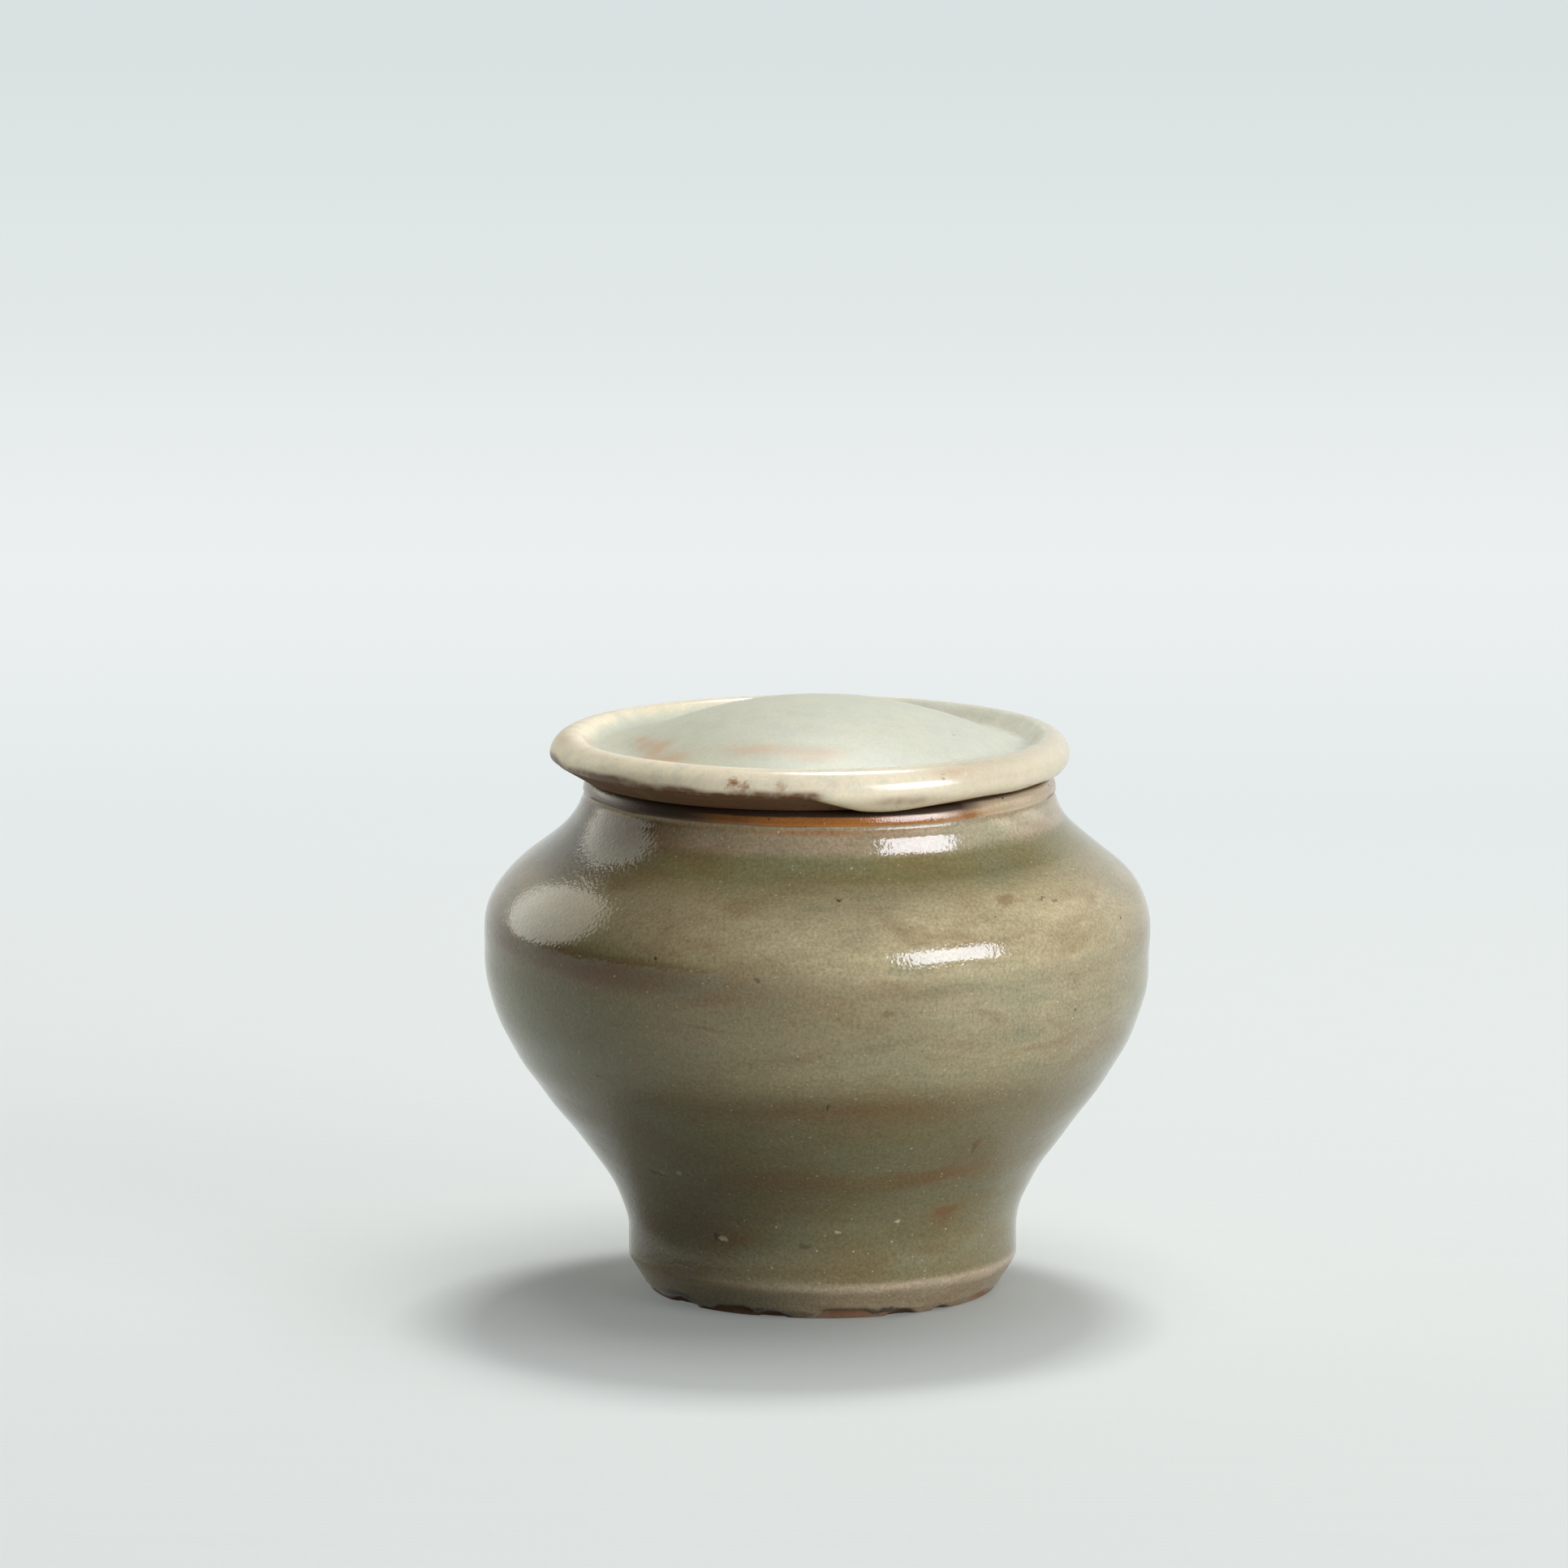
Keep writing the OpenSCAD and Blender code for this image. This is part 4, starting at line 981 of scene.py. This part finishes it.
class JAR_OT_clay(bpy.types.Operator):
    """Builds the clay body of the jar."""

    bl_idname = "jar.clay"
    bl_label = "Jar Clay"

    def execute(self, context):
        sizes = context.scene.jar_sizes
        outline = jar_outline(sizes)
        rows = jar_clay_rows(sizes, outline, around(360))
        angle, r, z = np.arctan2(rows[..., 0] - drift(rows[..., 2]), -rows[..., 1]), np.hypot(*rows[..., :2].T).T, rows[..., 2]
        bands = glaze_bands(angle, z)
        outside = smooth(29.0 * MM, 29.6 * MM, r) * smooth(65 * MM, 66 * MM, z)
        # painted shadow: the top of the rim is darkened across the front where the lid shades it, and painted shade
        # darkens the clay under the lid on the left of the neck
        gap = smooth(67.75 * MM, 68.15 * MM, z) * smooth(0.95, 0.45, abs(angle + 0.05))
        shade = 0.8 * smooth(66.5 * MM, 67.1 * MM, z) * np.exp(-(((np.degrees(angle) + 42) / 20) ** 2))
        crease_shadow = np.maximum(gap, shade) * outside
        bands = {"crease_shadow": crease_shadow, **{tone: bands[tone] * outside for tone in ("bubble_and_glint", "umber_and_shade", "rust")}}
        piece = closed_mesh("jar_clay", rows, False, bands)
        piece.data.materials.append(stoneware("flashed_stoneware", context.scene.jar_colours, 65.5, 67.2))
        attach(piece, "jar")
        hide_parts("jar_body")
        return {"FINISHED"}


class JAR_OT_inner_glaze(bpy.types.Operator):
    """Builds the inner coat of glaze."""

    bl_idname = "jar.inner_glaze"
    bl_label = "Inner Glaze"

    def execute(self, context):
        sizes = context.scene.jar_sizes
        outline = jar_outline(sizes)
        angle = around(240)
        surface = inner_rows(sizes, outline, angle, sizes.inner_glaze, 90)
        clay = inner_rows(sizes, outline, angle, 0.0, 40)
        rows = np.vstack([clay, surface[::-1][1:]])
        piece = closed_mesh("jar_inner_glaze", rows, False)
        piece.data.materials.append(inner_celadon(context.scene.jar_colours))
        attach(piece, "jar")
        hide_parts("jar_glaze_inside")
        return {"FINISHED"}


class JAR_OT_lid_clay(bpy.types.Operator):
    """Builds the clay body of the lid with its flange."""

    bl_idname = "jar.lid_clay"
    bl_label = "Lid Clay"

    def execute(self, context):
        sizes = context.scene.lid_sizes
        rows = lid_clay_rows(sizes, lid_outline(sizes), around(360))
        piece = closed_mesh("lid_clay", rows[::-1], False)
        piece.data.materials.append(stoneware("lid_stoneware", context.scene.jar_colours, 68.5, 900.0))
        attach(piece, "lid")
        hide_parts("lid_body")
        return {"FINISHED"}


class JAR_OT_lid_glaze(bpy.types.Operator):
    """Builds the lid's coat of glaze with the run under its edge."""

    bl_idname = "jar.lid_glaze"
    bl_label = "Lid Glaze"

    def execute(self, context):
        sizes = context.scene.lid_sizes
        low, top, clay = lid_glaze_rows(sizes, lid_outline(sizes), around(360))
        rows = np.vstack([clay, low, top])
        across, z = rows[..., 0] - lid_centre(sizes, 0.0), rows[..., 2] - LID_SEAT
        bands = lid_bands(sizes, np.arctan2(across, -rows[..., 1]), np.hypot(across, rows[..., 1]), z)
        piece = closed_mesh("lid_glaze_coat", rows, False, bands)
        piece.data.materials.append(lid_celadon(context.scene.jar_colours))
        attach(piece, "lid")
        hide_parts("lid_glaze")
        return {"FINISHED"}


class JAR_OT_stage(bpy.types.Operator):
    """Builds the pale cloth, the two softboxes, the room's light and the camera."""

    bl_idname = "jar.stage"
    bl_label = "Stage"

    def execute(self, context):
        cloth = floor_cloth(context.scene.jar_colours)
        key = softbox("key_softbox", 49, 22, 2.0, 1.2, 0.95, 49, tint=(0.97, 1.0, 1.12))
        side = softbox("side_umbrella", -120, 23, 2.0, 1.66, 1.66, 15, "DISK", (1.0, 0.98, 0.86))
        softbox("top_softbox", 168.7, 62.5, 2.0, 0.46, 0.36, 18)
        ceiling = softbox("ceiling_on_cloth", 110, 77, 2.2, 2.0, 2.0, 25)
        spill = softbox("spill_on_cloth", 49, 22, 2.0, 1.2, 0.74, 8)
        for lamp, state in ((key, "EXCLUDE"), (side, "EXCLUDE"), (ceiling, "INCLUDE"), (spill, "INCLUDE")):
            link_light(lamp, cloth, state)
        room_light(context.scene)
        camera(context.scene)
        context.scene.view_settings.view_transform = "Standard"
        return {"FINISHED"}


def floor_cloth(colours):
    """A level disc of pale cloth, 4 m in radius, a hair below the foot so that they never share a plane."""
    angle = around(96)
    rings = np.concatenate([[0.0], np.geomspace(0.02, 4, 40)])[:, None]
    points = turned(rings, 0 * rings - 0.02 * MM, angle)
    count, segments = points.shape[:2]
    index = np.arange(count * segments).reshape(count, segments)
    quads = np.stack([
        index[1:-1], np.roll(index[1:-1], -1, 1), np.roll(index[2:], -1, 1), index[2:]
    ], -1).reshape(-1, 4)
    middle = np.stack([index[0] * 0, index[1], np.roll(index[1], -1)], -1)
    mesh = bpy.data.meshes.new("floor_cloth")
    mesh.from_pydata(points.reshape(-1, 3), [], quads[:, ::-1].tolist() + middle.tolist())
    mesh.update()
    piece = bpy.data.objects.new("floor_cloth", mesh)
    bpy.context.scene.collection.objects.link(piece)
    mesh.materials.append(pale_cloth(colours))
    return piece


def pale_cloth(colours):
    """A plain woven cotton cloth, dull and nearly white. Near the jar it shows the lamps' light and
    the jar's shadow. Further off, the camera, mirrors and glass see a pale sweep of the same cloth,
    brightest two thirds of a metre behind the jar, which sends no light onto the jar."""
    material = bpy.data.materials.new("pale_cotton_cloth")
    material.use_nodes = True
    tree = material.node_tree
    shader = tree.nodes["Principled BSDF"]
    shader.inputs["Roughness"].default_value = 0.95
    shader.inputs["Specular IOR Level"].default_value = 0.1
    path = add(tree, "LightPath")
    dim = (0.6 * colours.floor[0], 0.58 * colours.floor[1], 0.5 * colours.floor[2])
    tone = add(tree, "Mix", {"Factor": path.outputs["Is Diffuse Ray"], "A": (*colours.floor, 1), "B": (*dim, 1)},
               data_type="RGBA")
    place = add(tree, "TexCoord").outputs["Object"]
    parts = add(tree, "SeparateXYZ", {"Vector": place})
    # threads 1.9 mm apart both ways, a little darker between them, with a slub of 9 mm
    slub = add(tree, "TexNoise", {"Vector": add(tree, "VectorMath", {0: place, "Scale": 1 / MM}, operation="SCALE").outputs[0],
                                  "Scale": 1 / 9, "Detail": 3.0}).outputs["Fac"]
    weave = slub
    for axis in "XY":
        turns = add(tree, "Math", {0: parts.outputs[axis], 1: 2 * math.pi / (1.9 * MM), 2: slub}, operation="MULTIPLY_ADD")
        thread = add(tree, "Math", {0: turns.outputs[0]}, operation="SINE").outputs[0]
        weave = add(tree, "Math", {0: thread, 1: 0.5 if axis == "Y" else 0.12, 2: weave}, operation="MULTIPLY_ADD").outputs[0]
    weave = add(tree, "MapRange", {"Value": weave, "From Min": -0.5, "From Max": 1.5, "To Min": 0.985, "To Max": 1.015}).outputs["Result"]
    woven = add(tree, "VectorMath", {0: tone.outputs["Result"], "Scale": weave}, operation="SCALE").outputs["Vector"]
    tree.links.new(woven, shader.inputs["Base Color"])
    away = add(tree, "VectorMath", {0: place}, operation="LENGTH")
    far = add(tree, "MapRange", {"Value": away.outputs["Value"], "From Min": 0.13, "From Max": 0.5, "To Min": 0.18},
              interpolation_type="SMOOTHSTEP")
    seen = add(tree, "Math", {0: path.outputs["Is Camera Ray"], 1: path.outputs["Is Glossy Ray"]}, operation="MAXIMUM")
    seen = add(tree, "Math", {0: seen.outputs[0], 1: path.outputs["Is Transmission Ray"]}, operation="MAXIMUM")
    share = add(tree, "Math", {0: far.outputs["Result"], 1: seen.outputs[0]}, operation="MULTIPLY")
    depth = add(tree, "MapRange", {"Value": parts.outputs["Y"], "From Min": -1.0, "From Max": 2.0})
    sweep = add(tree, "ValToRGB", {"Fac": depth.outputs["Result"]})
    ramp(sweep, [(0.0, 0xDCDEDB), (0.33, 0xDFE4E2), (0.46, 0xE4EAEA), (0.557, 0xEDF0F1), (0.69, 0xE2E8E8), (0.92, 0xD9E2E1)])
    glow = add(tree, "Emission", {"Color": sweep.outputs["Color"], "Strength": 1.0})
    mixed = add(tree, "MixShader", {0: share.outputs[0], 1: shader.outputs[0], 2: glow.outputs[0]})
    tree.links.new(mixed.outputs[0], tree.nodes["Material Output"].inputs["Surface"])
    return material


def ramp(node, stops):
    """Sets a colour ramp's stops from pairs of place and sRGB hex value."""
    elements = node.color_ramp.elements
    while len(elements) < len(stops):
        elements.new(1.0)
    for element, (place, code) in zip(elements, stops):
        element.position = place
        element.color = (*linear(code), 1)


def softbox(name, azimuth, elevation, distance, width, height, power, shape="RECTANGLE", tint=(1.0, 1.0, 1.0)):
    """A flat lamp that faces the jar's belly from an azimuth and elevation seen from it."""
    lamp = bpy.data.lights.new(name, "AREA")
    lamp.shape = shape
    lamp.size, lamp.size_y, lamp.energy, lamp.color = width, height, power, tint
    box = bpy.data.objects.new(name, lamp)
    az, el = math.radians(azimuth), math.radians(elevation)
    target = Vector((0, 0, 0.045))
    box.location = target + distance * Vector((
        math.sin(az) * math.cos(el), -math.cos(az) * math.cos(el), math.sin(el)
    ))
    box.rotation_euler = (target - box.location).to_track_quat("-Z", "Y").to_euler()
    box.visible_camera = False
    bpy.context.scene.collection.objects.link(box)
    return box


def link_light(lamp, piece, state):
    """Keeps a lamp's light off a piece with EXCLUDE, or gives it to that piece alone with INCLUDE."""
    lit = bpy.data.collections.new(lamp.name + "_link")
    lit.objects.link(piece)
    lit.collection_objects[0].light_linking.link_state = state
    lamp.light_linking.receiver_collection = lit


def room_light(scene):
    """The room as the glaze mirrors it: pale behind the jar, dim in front of it and above."""
    world = bpy.data.worlds.new("room")
    world.use_nodes = True
    tree = world.node_tree
    tree.nodes.clear()
    place = add(tree, "TexCoord")
    parts = add(tree, "SeparateXYZ", {"Vector": place.outputs["Generated"]})
    back = add(tree, "MapRange", {
        "Value": parts.outputs["Y"], "From Min": 0.0, "From Max": 0.75, "To Min": 0.0, "To Max": 1.0,
    }, interpolation_type="SMOOTHSTEP")
    low = add(tree, "MapRange", {
        "Value": parts.outputs["Z"], "From Min": 0.75, "From Max": 0.35, "To Min": 0.0, "To Max": 1.0,
    }, interpolation_type="SMOOTHSTEP")
    behind = add(tree, "Math", {0: back.outputs[0], 1: low.outputs[0]}, operation="MULTIPLY")
    path = add(tree, "LightPath")
    seen = add(tree, "Math", {0: path.outputs["Is Camera Ray"], 1: path.outputs["Is Transmission Ray"]},
               operation="MAXIMUM")
    soft = add(tree, "Math", {0: path.outputs["Is Diffuse Ray"], 1: -0.4, 2: 1.0}, operation="MULTIPLY_ADD")
    behind = add(tree, "Math", {0: behind.outputs[0], 1: soft.outputs[0]}, operation="MULTIPLY")
    share = add(tree, "Math", {0: seen.outputs[0], 1: behind.outputs[0]}, operation="MAXIMUM")
    tone = add(tree, "Mix", {"Factor": share.outputs[0], "A": (0.04, 0.04, 0.04, 1), "B": (0.82, 0.86, 0.86, 1)},
               data_type="RGBA")
    light = add(tree, "Background", {"Color": tone.outputs["Result"], "Strength": 1.0})
    add(tree, "OutputWorld", {"Surface": light.outputs[0]})
    scene.world = world


def camera(scene):
    """The camera 1.4 m away, 9.3 degrees above the level, through a long lens."""
    lens = bpy.data.cameras.new("camera")
    lens.lens = 243.1
    lens.sensor_width = 36
    lens.sensor_fit = "HORIZONTAL"
    eye = bpy.data.objects.new("camera", lens)
    tilt = math.radians(9.3)
    target = Vector((-4.72 * MM, 0, 67.3 * MM))
    eye.location = target + 1.4 * Vector((0, -math.cos(tilt), math.sin(tilt)))
    eye.rotation_euler = (math.pi / 2 - tilt, 0, 0)
    scene.collection.objects.link(eye)
    scene.camera = eye


class JAR_PT_panel(bpy.types.Panel):
    """The jar's pieces and their settings."""

    bl_label = "Celadon Jar"
    bl_idname = "JAR_PT_panel"
    bl_space_type = "VIEW_3D"
    bl_region_type = "UI"
    bl_category = "Jar"

    def draw(self, context):
        for operator in PIECES:
            self.layout.operator(operator.bl_idname)
        for group in (context.scene.jar_sizes, context.scene.lid_sizes, context.scene.jar_colours):
            for key in group.__annotations__:
                self.layout.prop(group, key)


PIECES = (
    JAR_OT_clay, JAR_OT_outer_glaze, JAR_OT_inner_glaze, JAR_OT_lid_clay, JAR_OT_lid_glaze, JAR_OT_stage,
)
CLASSES = (JarSizes, LidSizes, Colours, *PIECES, JAR_PT_panel)


def register():
    """Registers the classes and puts the settings on the scene."""
    for c in CLASSES:
        bpy.utils.register_class(c)
    bpy.types.Scene.jar_sizes = PointerProperty(type=JarSizes)
    bpy.types.Scene.lid_sizes = PointerProperty(type=LidSizes)
    bpy.types.Scene.jar_colours = PointerProperty(type=Colours)


def unregister():
    """Takes the settings and classes away again."""
    del bpy.types.Scene.jar_sizes
    del bpy.types.Scene.lid_sizes
    del bpy.types.Scene.jar_colours
    for c in reversed(CLASSES):
        bpy.utils.unregister_class(c)


def main():
    """Builds every piece."""
    register()
    for operator in PIECES:
        group, name = operator.bl_idname.split(".")
        getattr(getattr(bpy.ops, group), name)()


if __name__ == "__main__":
    main()
